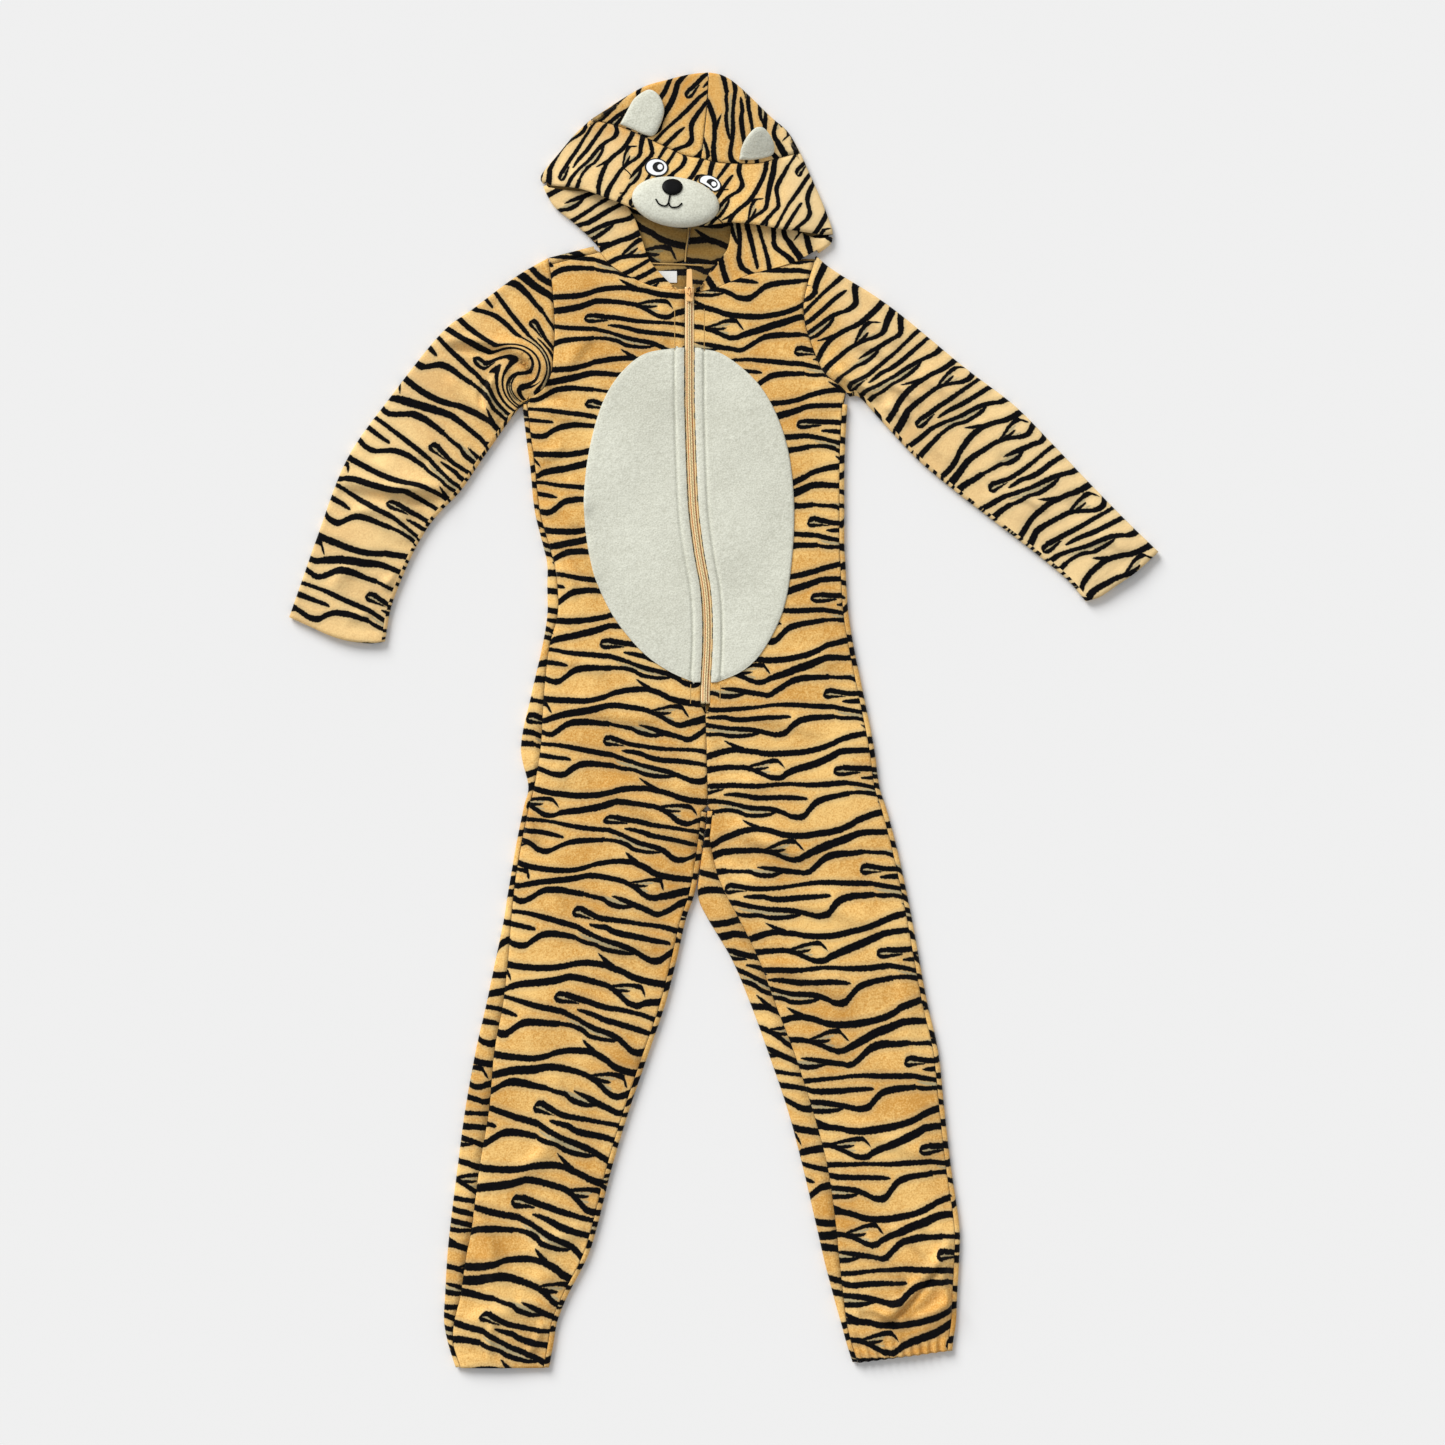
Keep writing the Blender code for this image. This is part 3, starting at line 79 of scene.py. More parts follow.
view_width = IMAGE * PIXEL * MM
camera_data = bpy.data.cameras.new("Camera")
camera_data.lens = LENS
camera_data.sensor_width = SENSOR
camera = add_object("Camera", camera_data)
camera_x = (IMAGE_MIDDLE - ORIGIN_X) * PIXEL * MM + SHIFT_X * MM
camera.location = (camera_x, SHIFT_Y * MM, view_width * LENS / SENSOR)
bpy.context.scene.camera = camera
print("camera height %.2f m, view %.3f m across" % (camera.location.z, view_width))

# %% [markdown]
# ## Reading shader maths as plain sums
#
# A pattern such as a stripe is arithmetic on the cloth's own coordinates. Blender draws that as Math
# nodes. The small class below wraps a socket, so that `1 - mask` in Python adds the nodes.


# %% A socket that can be added and multiplied
class Wire:
    """A node socket that builds Math nodes when it is used in a sum."""

    def __init__(self, tree, socket=None):
        self.tree = tree
        self.socket = socket

    def node(self, kind, settings=None, output=0, **inputs):
        """Add any node, set it up, and return one of its outputs."""
        made = self.tree.nodes.new(kind)
        for key, value in (settings or {}).items():
            if key == "knots":
                line = made.mapping.curves[0]
                while len(line.points) < len(value):
                    line.points.new(0.5, 0.5)
                for point, (x, y) in zip(line.points, value):
                    point.location = (x, y)
                made.mapping.update()
            else:
                setattr(made, key, value)
        for key, value in inputs.items():
            place = made.inputs[int(key[1:])] if key[1:].isdigit() else made.inputs[key[1:]]
            if isinstance(value, Wire):
                self.tree.links.new(value.socket, place)
            else:
                place.default_value = value
        return Wire(self.tree, made.outputs[output])

    def math(self, operation, *values):
        """One Math node on this wire and other values."""
        inputs = {"i%d" % k: value for k, value in enumerate((self,) + values)}
        return self.node("ShaderNodeMath", {"operation": operation}, **inputs)

    def __add__(self, other):
        return self.math("ADD", other)

    def __sub__(self, other):
        return self.math("SUBTRACT", other)

    def __mul__(self, other):
        return self.math("MULTIPLY", other)

    def __truediv__(self, other):
        return self.math("DIVIDE", other)

    def __rsub__(self, other):
        return self * -1.0 + other

    __radd__ = __add__
    __rmul__ = __mul__

    def smooth(self, low, high):
        """Ease from 0 to 1 between two values."""
        settings = {"interpolation_type": "SMOOTHSTEP"}
        return self.node("ShaderNodeMapRange", settings, i0=self, i1=low, i2=high, i3=0.0, i4=1.0)

    def mix(self, first, second):
        """Two colours mixed by this wire."""
        return self.node("ShaderNodeMix", {"data_type": "RGBA"}, output=2, i0=self, i6=first, i7=second)

    def noise(self, scale, detail=2.0, rough=0.5):
        """Noise at the place that this wire gives."""
        return self.node(
            "ShaderNodeTexNoise", iVector=self, iScale=scale, iDetail=detail, iRoughness=rough,
        )

    def parts(self):
        """The x and the y of this wire."""
        x = self.node("ShaderNodeSeparateXYZ", i0=self)
        return x, Wire(self.tree, x.socket.node.outputs["Y"])

    def into(self, shader, name):
        """Join this wire to an input of the shader."""
        self.tree.links.new(self.socket, shader.inputs[name])

    def bump(self, shader, strength, distance):
        """Raise the shader's surface by this wire."""
        made = self.node("ShaderNodeBump", iStrength=strength, iDistance=distance, iHeight=self)
        made.into(shader, "Normal")


def start_material(name):
    """A new material, its node tree and its main shader."""
    made = bpy.data.materials.new(name)
    made.use_nodes = True
    tree = made.node_tree
    return made, tree, tree.nodes["Principled BSDF"]


def give(node, **inputs):
    """Set a node's inputs by name, with an underscore for each space."""
    for name, value in inputs.items():
        node.inputs[name.replace("_", " ")].default_value = value


def object_place(tree):
    """The object's own coordinates."""
    return Wire(tree).node("ShaderNodeTexCoord", output="Object")


def cloth_place(tree):
    """The x and y of the place on the cloth, from its own UV map."""
    return Wire(tree).node("ShaderNodeUVMap", {"uv_map": "cloth"}, output="UV").parts()


def colour(r, g, b):
    """A shader colour from screen values of 0 to 255."""
    out = []
    for value in (r, g, b):
        share = value / 255.0
        out.append(share / 12.92 if share <= 0.04045 else ((share + 0.055) / 1.055) ** 2.4)
    return (*out, 1.0)


print("shader helpers ready")

# %% [markdown]
# ## Fleece pile
#
# Short-pile fleece has no weave on show. Light catches thousands of tiny tufts, so the cloth looks
# grainy close up, soft from afar, and a little brighter where it turns away. Two sizes of noise feed
# a bump for the tufts, a slow noise mottles the colour, and sheen on the shader lifts the edges.


# %% Pile shared by every fleece
TUFT_SCALE = 620.0
CLUMP_SCALE = 170.0
PILE_DEEP = 0.0016


def pile(tree, shader, height):
    """Tufts and clumps as a bump, with a soft sheen; gives the place and the two noises."""
    place = object_place(tree)
    tufts, clumps = place.noise(TUFT_SCALE, rough=0.6), place.noise(CLUMP_SCALE)
    (tufts * 0.55 + clumps * 0.8).bump(shader, height, PILE_DEEP)
    give(shader, Roughness=0.95, Specular_IOR_Level=0.06, Sheen_Weight=0.1, Sheen_Roughness=0.5)
    give(shader, Sheen_Tint=(1.0, 0.93, 0.82, 1.0))
    return place, tufts, clumps


def speckled(spots, scale, clump, slow, deep, light):
    """Two colours speckled by the tufts and clumps, and mottled by a slow noise."""
    place, tufts, clumps = spots
    speckle = (tufts - 0.5) * 1.5 + (clumps - 0.5) * clump + (place.noise(scale) - 0.5) * slow
    return (speckle + 0.5).smooth(0.0, 1.0).mix(deep, light)


print("pile ready")

# %% [markdown]
# ## The tiger print
#
# The cloth is printed in a repeat about 130 mm across and 185 mm along. Its stripes are long brush
# strokes that fork, dip and close into loops with a greyish heart. The repeat is a short list of
# strokes, whose knots were read off enlarged views of the photograph with a ruled grid over them.
# Each knot has a place across the repeat, a place along it, and a half width. A Float Curve node
# holds the stroke's middle line and another holds its width, so the print stays sharp at any
# distance and needs no picture.

# %% Chart of the repeat
ACROSS = 0.1297
ALONG = 0.185
DROP = -0.03


def charted(table):
    """Strokes from knots in thousandths of the repeat across and along, and tenths of a mm wide."""
    return {
        name: [(u / 1000, v / 1000, half / 10) for u, v, half in knots]
        for name, knots in table.items()
    }


BLACK = charted({
    "fork_low": ((0, -118, 37), (75, -115, 34), (135, -108, 32), (241, -96, 29), (311, -79, 29),
        (386, -50, 30), (448, -21, 30), (511, -8, 32), (561, -18, 35), (636, -33, 40), (749, -52, 43),
        (887, -69, 43), (947, -80, 40), (1000, -88, 37)),
    "fork_top": ((301, -88, 13), (386, -102, 19), (462, -111, 23), (523, -106, 29), (549, -83, 27),
        (577, -52, 3)),
    "fork_tick": ((301, -85, 14), (361, -75, 20), (414, -71, 18), (451, -73, 4)),
    "step_a": ((211, -8, 5), (311, 13, 27), (386, 33, 32), (462, 50, 30), (511, 62, 30), (555, 71, 31),
        (598, 60, 34), (650, 37, 36), (699, 15, 37), (749, 4, 38), (824, 3, 37), (917, 12, 31),
        (1000, 17, 30)),
    "leaf_a": ((0, -13, 22), (72, 0, 22), (147, 10, 25), (198, 31, 28), (260, 43, 28), (311, 47, 24),
        (361, 43, 18), (421, 37, 6)),
    "loop_a_top": ((944, 117, 12), (955, 106, 26), (974, 96, 28), (1000, 94, 24)),
    "loop_a_low": ((944, 117, 12), (959, 125, 25), (980, 130, 23), (1000, 131, 19)),
    "twig_a": ((0, 101, 19), (45, 106, 14), (105, 114, 3)),
    "long_a": ((0, 64, 32), (72, 85, 30), (147, 104, 29), (298, 117, 26), (448, 125, 22),
        (598, 133, 24), (699, 146, 29), (824, 165, 31), (950, 182, 31), (1000, 189, 29)),
    "short_a": ((75, 139, 7), (135, 146, 24), (198, 152, 29), (260, 171, 31), (323, 181, 32),
        (411, 188, 31), (511, 196, 29), (612, 207, 25), (677, 214, 21), (699, 219, 5)),
    "step_b": ((0, 159, 29), (72, 182, 29), (147, 202, 26), (223, 221, 26), (298, 233, 29),
        (386, 250, 31), (462, 271, 30), (523, 291, 31), (574, 304, 32), (624, 304, 35), (674, 283, 38),
        (725, 258, 38), (774, 243, 37), (850, 237, 35), (950, 243, 30), (1000, 247, 30)),
    "leaf_b": ((0, 217, 22), (72, 236, 25), (147, 245, 23), (223, 266, 26), (298, 275, 26),
        (386, 279, 22), (459, 275, 6)),
    "sag_a": ((0, 360, 34), (68, 350, 34), (135, 346, 34), (223, 346, 32), (298, 358, 32),
        (386, 375, 32), (462, 396, 34), (574, 412, 35), (699, 418, 35), (824, 415, 34), (917, 406, 34),
        (1000, 390, 34)),
    "spur_a": ((183, 290, 5), (221, 312, 21), (260, 333, 29), (316, 356, 29)),
    "knot_low": ((0, 424, 36), (66, 426, 34), (135, 432, 31), (223, 442, 29), (298, 454, 30),
        (361, 479, 31), (436, 517, 30), (486, 537, 31), (537, 543, 32), (586, 527, 36), (662, 512, 38),
        (762, 500, 41), (887, 480, 42), (947, 467, 40), (1000, 454, 36)),
    "knot_top": ((301, 455, 14), (386, 445, 20), (462, 441, 23), (523, 444, 28), (555, 462, 25),
        (582, 495, 3)),
    "knot_tick": ((301, 461, 13), (368, 473, 20), (421, 474, 17), (469, 470, 3)),
    "loop_b_top": ((926, 562, 12), (938, 551, 26), (962, 544, 27), (1000, 544, 24)),
    "loop_b_low": ((926, 562, 12), (941, 571, 25), (965, 579, 25), (1000, 582, 22)),
    "twig_b": ((0, 552, 22), (60, 550, 17), (113, 555, 3)),
    "long_b": ((0, 514, 32), (98, 529, 32), (173, 537, 31), (298, 556, 29), (448, 571, 24),
        (574, 583, 22), (699, 602, 27), (824, 617, 31), (950, 627, 30), (1000, 630, 29)),
    "short_b": ((105, 582, 10), (185, 592, 25), (260, 607, 30), (323, 623, 32), (411, 636, 30),
        (511, 648, 29), (612, 662, 27), (669, 673, 19), (692, 678, 5)),
    "step_c": ((0, 600, 29), (110, 626, 26), (173, 646, 26), (260, 671, 29), (335, 685, 29),
        (424, 704, 32), (499, 733, 32), (561, 762, 33), (612, 768, 37), (662, 750, 38), (711, 721, 39),
        (762, 702, 37), (838, 694, 34), (950, 692, 29), (1000, 690, 30)),
    "leaf_c": ((0, 660, 22), (75, 664, 23), (129, 673, 26), (185, 688, 28), (236, 711, 26),
        (298, 721, 24), (373, 727, 22), (451, 722, 6)),
    "sag_b": ((0, 812, 34), (75, 800, 34), (150, 792, 34), (260, 791, 32), (311, 800, 33),
        (386, 821, 34), (462, 850, 35), (574, 871, 35), (699, 879, 35), (824, 879, 34), (917, 867, 35),
        (1000, 842, 34)),
    "spur_b": ((195, 735, 5), (226, 753, 21), (259, 772, 27), (301, 791, 29)),
})

# Greyish hearts of the loops and forks
GREY = charted({
    "heart_fork": ((338, -90, 3), (391, -88, 10), (451, -90, 10), (481, -92, 2)),
    "heart_fork_low": ((338, -70, 3), (391, -57, 11), (444, -44, 10), (466, -40, 2)),
    "heart_a": ((135, -4, 3), (188, 8, 14), (256, 22, 19), (323, 34, 12), (368, 39, 2)),
    "heart_twig": ((0, 83, 15), (60, 96, 11), (105, 106, 2)),
    "heart_loop_a": ((962, 115, 4), (977, 113, 13), (1000, 113, 15)),
    "heart_b": ((15, 190, 2), (60, 205, 12), (147, 225, 17), (260, 248, 18), (361, 267, 11),
        (421, 272, 2)),
    "heart_knot": ((338, 459, 3), (383, 461, 10), (444, 458, 10), (481, 456, 2)),
    "heart_knot_low": ((346, 476, 2), (391, 488, 10), (451, 498, 8), (474, 500, 1)),
    "heart_loop_b": ((947, 562, 4), (970, 562, 13), (1000, 561, 15)),
    "heart_twig_b": ((0, 531, 15), (60, 540, 9), (105, 547, 2)),
    "heart_c": ((45, 632, 2), (135, 656, 12), (198, 672, 15), (274, 692, 15), (349, 707, 12),
        (406, 714, 2)),
})
print("strokes in the repeat:", len(BLACK) + len(GREY))

# %% Strokes as nodes
WIDEST = 6.3
UNDER = 1.9
TAPER = 0.008
SPAN_MARGIN = 0.02
WANDER_SCALE = 24.0
WANDER_ACROSS = 0.04
WANDER_ALONG = 0.025
RAGGED_SCALE = 480.0
RAGGED_EDGE = 2.4


def stroke(u, v, knots):
    """How far a point lies inside one stroke, in millimetres; less than 0 is outside."""
    low = min(k[1] for k in knots)
    span = max(k[1] for k in knots) - low + SPAN_MARGIN
    middle = [(x, (y - low) / span) for x, y, _ in knots]
    width = [(x, (half + UNDER) / WIDEST) for x, _, half in knots]
    if knots[0][0] > 0.0:
        width.insert(0, (knots[0][0] - TAPER, 0.0))
    if knots[-1][0] < 1.0:
        width.append((knots[-1][0] + TAPER, 0.0))
    line, half = (u.node("ShaderNodeFloatCurve", {"knots": row}, iValue=u) for row in (middle, width))
    away = (v - (line * span + low)).math("PINGPONG", 0.5)
    return half * WIDEST - away * (ALONG * 1000.0) - UNDER


def most(u, v, strokes):
    """The deepest that a point lies inside any of some strokes."""
    found = [stroke(u, v, knots) for knots in strokes.values()]
    return reduce(lambda deepest, inside: deepest.math("MAXIMUM", inside), found)


def print_masks(tree, place):
    """The black and the greyish parts of the print, and the dull cloth close to a stroke."""
    x, y = cloth_place(tree)
    ragged, slow = place.noise(RAGGED_SCALE, rough=0.6), place.noise(WANDER_SCALE, detail=1.0)
    across = x / ACROSS + (slow - 0.5) * WANDER_ACROSS
    column = across.math("FLOOR")
    u = across - column
    v = y / ALONG + column * DROP + (slow - 0.5) * WANDER_ALONG
    black, grey = most(u, v, BLACK), most(u, v, GREY)
    blur = (ragged - 0.5) * RAGGED_EDGE
    return (black + blur).smooth(-0.5, 0.5), (grey + blur).smooth(-1.0, 0.8), black.smooth(-5.5, 0.3)


def striped(name, light, deep, pale, dark, heart):
    """Tiger-print fleece, paler on the sleeves and the band's ends, with painted shade on the crown."""
    made, tree, shader = start_material(name)
    place, tufts, clumps = pile(tree, shader, 0.35)
    ground = speckled((place, tufts, clumps), 13.0, 0.5, 1.5, deep, light)
    # Where the tints lie, in metres on the garment
    x, y = place.parts()
    on_sleeve = x.math("ABSOLUTE").smooth(0.17, 0.33) * y.smooth(0.02, 0.09)
    left_sleeve = (x + y * 0.32 - 0.144).smooth(0.07, 0.1)
    on_band = y.smooth(0.44, 0.46) * (1.0 - y.smooth(0.54, 0.575))
    band_end = (x + 0.022).math("ABSOLUTE").smooth(0.04, 0.09) * on_band
    # Painted shade: the crown's ground is mixed towards the deep colour, as if the crown lay sunk in
    # its fold
    crown = (1.0 - (x + 0.02).math("ABSOLUTE").smooth(0.02, 0.1)) * y.smooth(0.555, 0.585)
    black, grey, near = print_masks(tree, place)
    for mask, share, tint in (
        (on_sleeve, 0.5, pale), (left_sleeve, 0.5, pale), (band_end, 0.6, pale),
        (crown, 0.45, deep), (near, 0.42, heart), (grey, 0.9, heart),
    ):
        ground = (mask * share).mix(ground, tint)
    ink = tufts.smooth(0.35, 0.8).mix(dark, (dark[0] * 2.6, dark[1] * 2.6, dark[2] * 2.8, 1.0))
    black.mix(ground, ink).into(shader, "Base Color")
    return made


FLEECE = striped(
    "striped fleece", light=colour(252, 209, 132), deep=colour(206, 148, 68),
    pale=colour(250, 222, 168), dark=colour(4, 4, 6), heart=colour(172, 160, 124),
)
# The inside: the print's duller reverse, with its colours also darkened as painted shade
FLEECE_INSIDE_PAINTED_SHADE = striped(
    "striped fleece inside painted shade", light=colour(186, 150, 86), deep=colour(154, 116, 56),
    pale=colour(180, 150, 96), dark=colour(16, 14, 14), heart=colour(126, 118, 88),
)
print("fleece:", len(FLEECE.node_tree.nodes), "nodes")

# %% [markdown]
# ## Outlines of the panels
#
# These tables repeat the sizes of the CAD panels, so that the fine panels lie exactly over them.
# Each body row gives the edges and seams at one height. Each outline is read as a smooth curve.

# %% Cloth sizes and body sections
WALL = 2.0
ROLL = 3.2
LOFT = 1.4
LOFT_REACH = 25.0
SEAM_GAP = 0.3
SEWN_GAP = SEAM_GAP * 0.8
SEAM_INSET = 5.0
MERGE = 0.02
TORSO_ROWS = 72
HIP_ROWS = 24
LEG_ROWS = 140
FRONT_COLUMNS = (34, 26)
BACK_COLUMNS = (8, 6)
ARMHOLE_POINTS = 50
ARMPIT_REACH_RIGHT = 8.6
ARMPIT_REACH_LEFT = 4.7
ARMPIT_DROP = 2.5
EDGE_STEPS = 6
UNDER_SKIP = 4
HOOD_COLUMNS = 34
ZIP_HALF = 4.7
ZIP_BOTTOM = 17.0
ZIP_TOP = 413.0
TAPE_IN = 0.4
TAPE_OUT = 4.3
TAPE_THICK = 0.8
TAPE_SINK = 0.6
CHAIN_TOP = 398.0
BELLY_WALL = 1.6
APPLIQUE_GAP = 0.35

BODY_COLUMNS = ("y", "right_edge", "right_seam", "right_inner", "left_inner", "left_seam", "left_edge")
BODY = (
    (304, -191, -187, -32, -32, -32, 118), (270, -187, -183, -31, -31, -31, 116),
    (240, -183, -179, -30, -30, -30, 115), (201, -179, -174, -28, -28, -28, 115),
    (168, -171, -165, -24, -24, -24, 115), (150, -167, -160, -21, -21, -21, 116),
    (128, -167, -157, -17, -17, -17, 117), (102, -167, -157, -15, -15, -15, 119),
    (71, -172, -165, -15, -15, -15, 124), (27, -182, -170, -17, -17, -17, 133),
    (-23, -192, -173, -16, -16, -16, 143), (-60, -185, -179, -15, -15, -15, 148),
    (-79, -189, -184, -15, -15, -15, 154), (-108, -195, -190, -18, -18, -13, 162),
    (-142, -201, -196, -23, -23, -6, 170), (-166, -205, -199, -28, -24, 4, 175),
    (-186, -208, -201, -35, -15, 15, 179), (-225, -216, -204, -44, 8, 34, 186),
    (-268, -225, -209, -55, 26, 50, 194), (-312, -235, -217, -70, 42, 67, 204),
    (-368, -245, -222, -89, 61, 85, 210), (-421, -252, -231, -105, 75, 99, 216),
    (-477, -259, -238, -119, 88, 107, 224), (-508, -262, -244, -129, 95, 110, 224),
    (-543, -264, -249, -147, 104, 114, 222), (-568, -265, -255, -157, 111, 117, 221),
    (-590, -261, -256, -161, 117, 122, 218), (-612, -254, -249, -165, 124, 129, 217),
)
CROTCH_Y = -79.0
LEG_START = 5.0
ZIP_CLOSE = 9.0
ARMPIT_Y = 304.0
HEM_RIGHT_Y = -612.0
HEM_LEFT_INNER_Y = -607.0
HEM_LEFT_OUTER_Y = -596.0
HEM_LEFT_SLANT = HEM_LEFT_OUTER_Y - HEM_LEFT_INNER_Y
LEG_CROWD = ((1.0, 0.12, 0.8),)
print("body rows:", len(BODY))

# %% Sleeves, neck and hood outlines
ARMHOLE_RIGHT = (
    (-191, 303), (-171, 316), (-163, 331), (-161, 350), (-160, 376), (-162, 411), (-166, 441),
)
ARMHOLE_LEFT = (
    (120, 309), (112, 318), (97, 330), (90, 342), (82, 363), (77, 382), (77, 404), (88, 443),
)
NECK_FRONT_RIGHT = ((-42, 411), (-54, 411), (-70, 414), (-88, 422), (-106, 433), (-117, 446))
SHOULDER_RIGHT = ((-117, 446), (-164, 434))
NECK_FRONT_LEFT = ((-30, 407), (-14, 410), (3, 416), (24, 424), (54, 432), (70, 437))
SHOULDER_LEFT = ((70, 437), (76, 438), (83, 438))
NECK_BACK_RIGHT = ((-37, 436), (-80, 434), (-122, 449))
NECK_BACK_LEFT = ((-36, 436), (17, 434), (70, 439))
SHOULDER_EDGE_RIGHT = ((-123, 452), (-166, 441))
SHOULDER_END_LEFT = ((70, 439), (77, 440), (84, 440))
BODY_MIDDLE = (-32, 380)
SLEEVE_RIGHT_INNER = (
    (-191, 303), (-204, 285), (-230, 248), (-250, 219), (-273, 195), (-289, 171), (-302, 144),
    (-315, 110), (-321, 77),
)
SLEEVE_RIGHT_OUTER = (
    (-166, 441), (-197, 423), (-237, 393), (-268, 369), (-315, 310), (-357, 250), (-385, 177),
    (-399, 137), (-412, 100),
)
SLEEVE_RIGHT_HEM = ((-321, 77), (-334, 75), (-354, 77), (-372, 82), (-390, 90), (-412, 100))
SLEEVE_LEFT_INNER = (
    (120, 309), (130, 308), (153, 283), (184, 250), (217, 222), (257, 191), (296, 161), (326, 136),
    (344, 115),
)
SLEEVE_LEFT_OUTER = (
    (88, 443), (105, 429), (158, 395), (229, 337), (275, 302), (308, 269), (344, 231), (380, 194),
    (413, 162),
)
SLEEVE_LEFT_HEM = ((344, 115), (357, 119), (372, 129), (392, 143), (413, 162))
HOOD_SEAM_FRONT = ((-14, 617), (-15, 590), (-18, 560), (-21, 535))
HOOD_SEAM_BACK = ((-21, 535), (-28, 490), (-36, 439))
HOOD_EDGE_RIGHT_TOP = ((-14, 617), (-33, 615), (-53, 610), (-74, 604), (-94, 593), (-126, 572))
HOOD_EDGE_LEFT_TOP = ((-14, 617), (0, 614), (16, 603), (45, 575), (61, 561), (73, 541))
HOOD_EDGE_RIGHT_BAND = ((-126, 572), (-141, 558), (-157, 539), (-173, 519), (-171, 511))
HOOD_EDGE_LEFT_BAND = ((73, 541), (85, 514), (93, 496), (103, 470), (104, 463))
HOOD_EDGE_RIGHT_LOW = ((-171, 509), (-167, 500), (-159, 488), (-143, 475), (-121, 455))
HOOD_EDGE_LEFT_LOW = ((104, 461), (102, 454), (90, 445))
BAND_SEAM_RIGHT = ((-21, 535), (-37, 538), (-53, 545), (-70, 553), (-97, 565), (-126, 572))
BAND_SEAM_LEFT = ((-21, 535), (-5, 531), (14, 530), (32, 530), (48, 534), (73, 541))
BAND_EDGE = (
    (-168, 510), (-136, 505), (-113, 497), (-92, 489), (-74, 481), (-55, 475), (-39, 470), (-17, 470),
    (5, 473), (32, 471), (60, 466), (99, 462),
)
FRONT_RIGHT_TOP = ((-169, 508), (-150, 505), (-136, 504), (-115, 505), (-100, 499))
FRONT_RIGHT_OPENING = ((-100, 499), (-86, 482), (-77, 458), (-71, 440), (-60, 426), (-48, 414))
FRONT_LEFT_TOP = ((101, 460), (92, 459), (82, 461), (60, 472), (32, 479), (6, 482))
FRONT_LEFT_OPENING = ((6, 482), (7, 465), (4, 449), (-5, 437), (-14, 425), (-21, 412))
BELLY = (
    (355, -46, -24), (347, -79, 3), (316, -108, 37), (268, -125, 59), (211, -132, 67), (154, -126, 65),
    (107, -108, 57), (70, -80, 39), (50, -54, 20), (38, -28, -6),
)
CROWN_LOFT = 1.8
HOOD_TUCK = 0.5
BAND_SIDE_POINTS = 20
FRONT_SIDE_STEP = 4.5
HOOD_FRONT_COLUMNS = 22
HOOD_FRONT_END = 0.55
BAND_RISE = 8.5
BAND_DEEP = 66.0
BAND_RAMP = 34.0
HOOD_MIDDLE = (-35, 530)
print("outlines ready")

# %% Folds and creases
# Columns: start x and y, end x and y, half width, height, bow
FOLDS = (
    (-216, 362, -168, 312, 9, 5.5, 12), (-206, 344, -192, 306, 8, 4.2, 0),
    (-224, 326, -211, 290, 8, 3.4, -5), (-198, 354, -180, 318, 6, -1.8, 6),
    (-318, 224, -252, 214, 8, 3.4, 5), (-350, 210, -288, 170, 8.5, 3.2, -4),
    (-300, 196, -276, 178, 6, -1.6, 0), (-372, 186, -330, 150, 11, 2, 3),
    (98, 346, 144, 309, 7.5, 4.4, -5), (112, 324, 150, 300, 5, -1.6, -3),
    (190, 268, 224, 246, 9, 1.8, 0), (250, 216, 292, 188, 10, 1.8, 3), (330, 196, 366, 150, 10, 1.6, 2),
    (-176, 206, -142, 178, 8, 3, 3), (-166, 182, -146, 150, 6, -1.8, 2),
    (-168, 118, -138, 92, 8, 2.2, 0), (96, 338, 84, 292, 9, 2.2, 4), (80, 122, 120, 90, 10, 2, 3),
    (-20, -66, -92, -34, 9, 2.2, 5), (-6, -70, 66, -40, 9, 2, -5), (-184, -30, -150, -66, 8, 2.6, 3),
    (-24, -186, -96, -214, 10, 1.8, 5), (150, -300, 196, -436, 13, 2.4, 6),
    (112, -430, 150, -520, 12, 1.8, -4), (218, -498, 150, -566, 9, 4.8, 8),
    (222, -532, 180, -580, 7, 3.4, 5), (112, -560, 148, -588, 7, 2.6, -3),
    (-152, -550, -250, -572, 9, 3.2, -6), (-150, -520, -196, -540, 8, 2, -3),
    (-230, -470, -214, -540, 10, 1.6, 3),
)

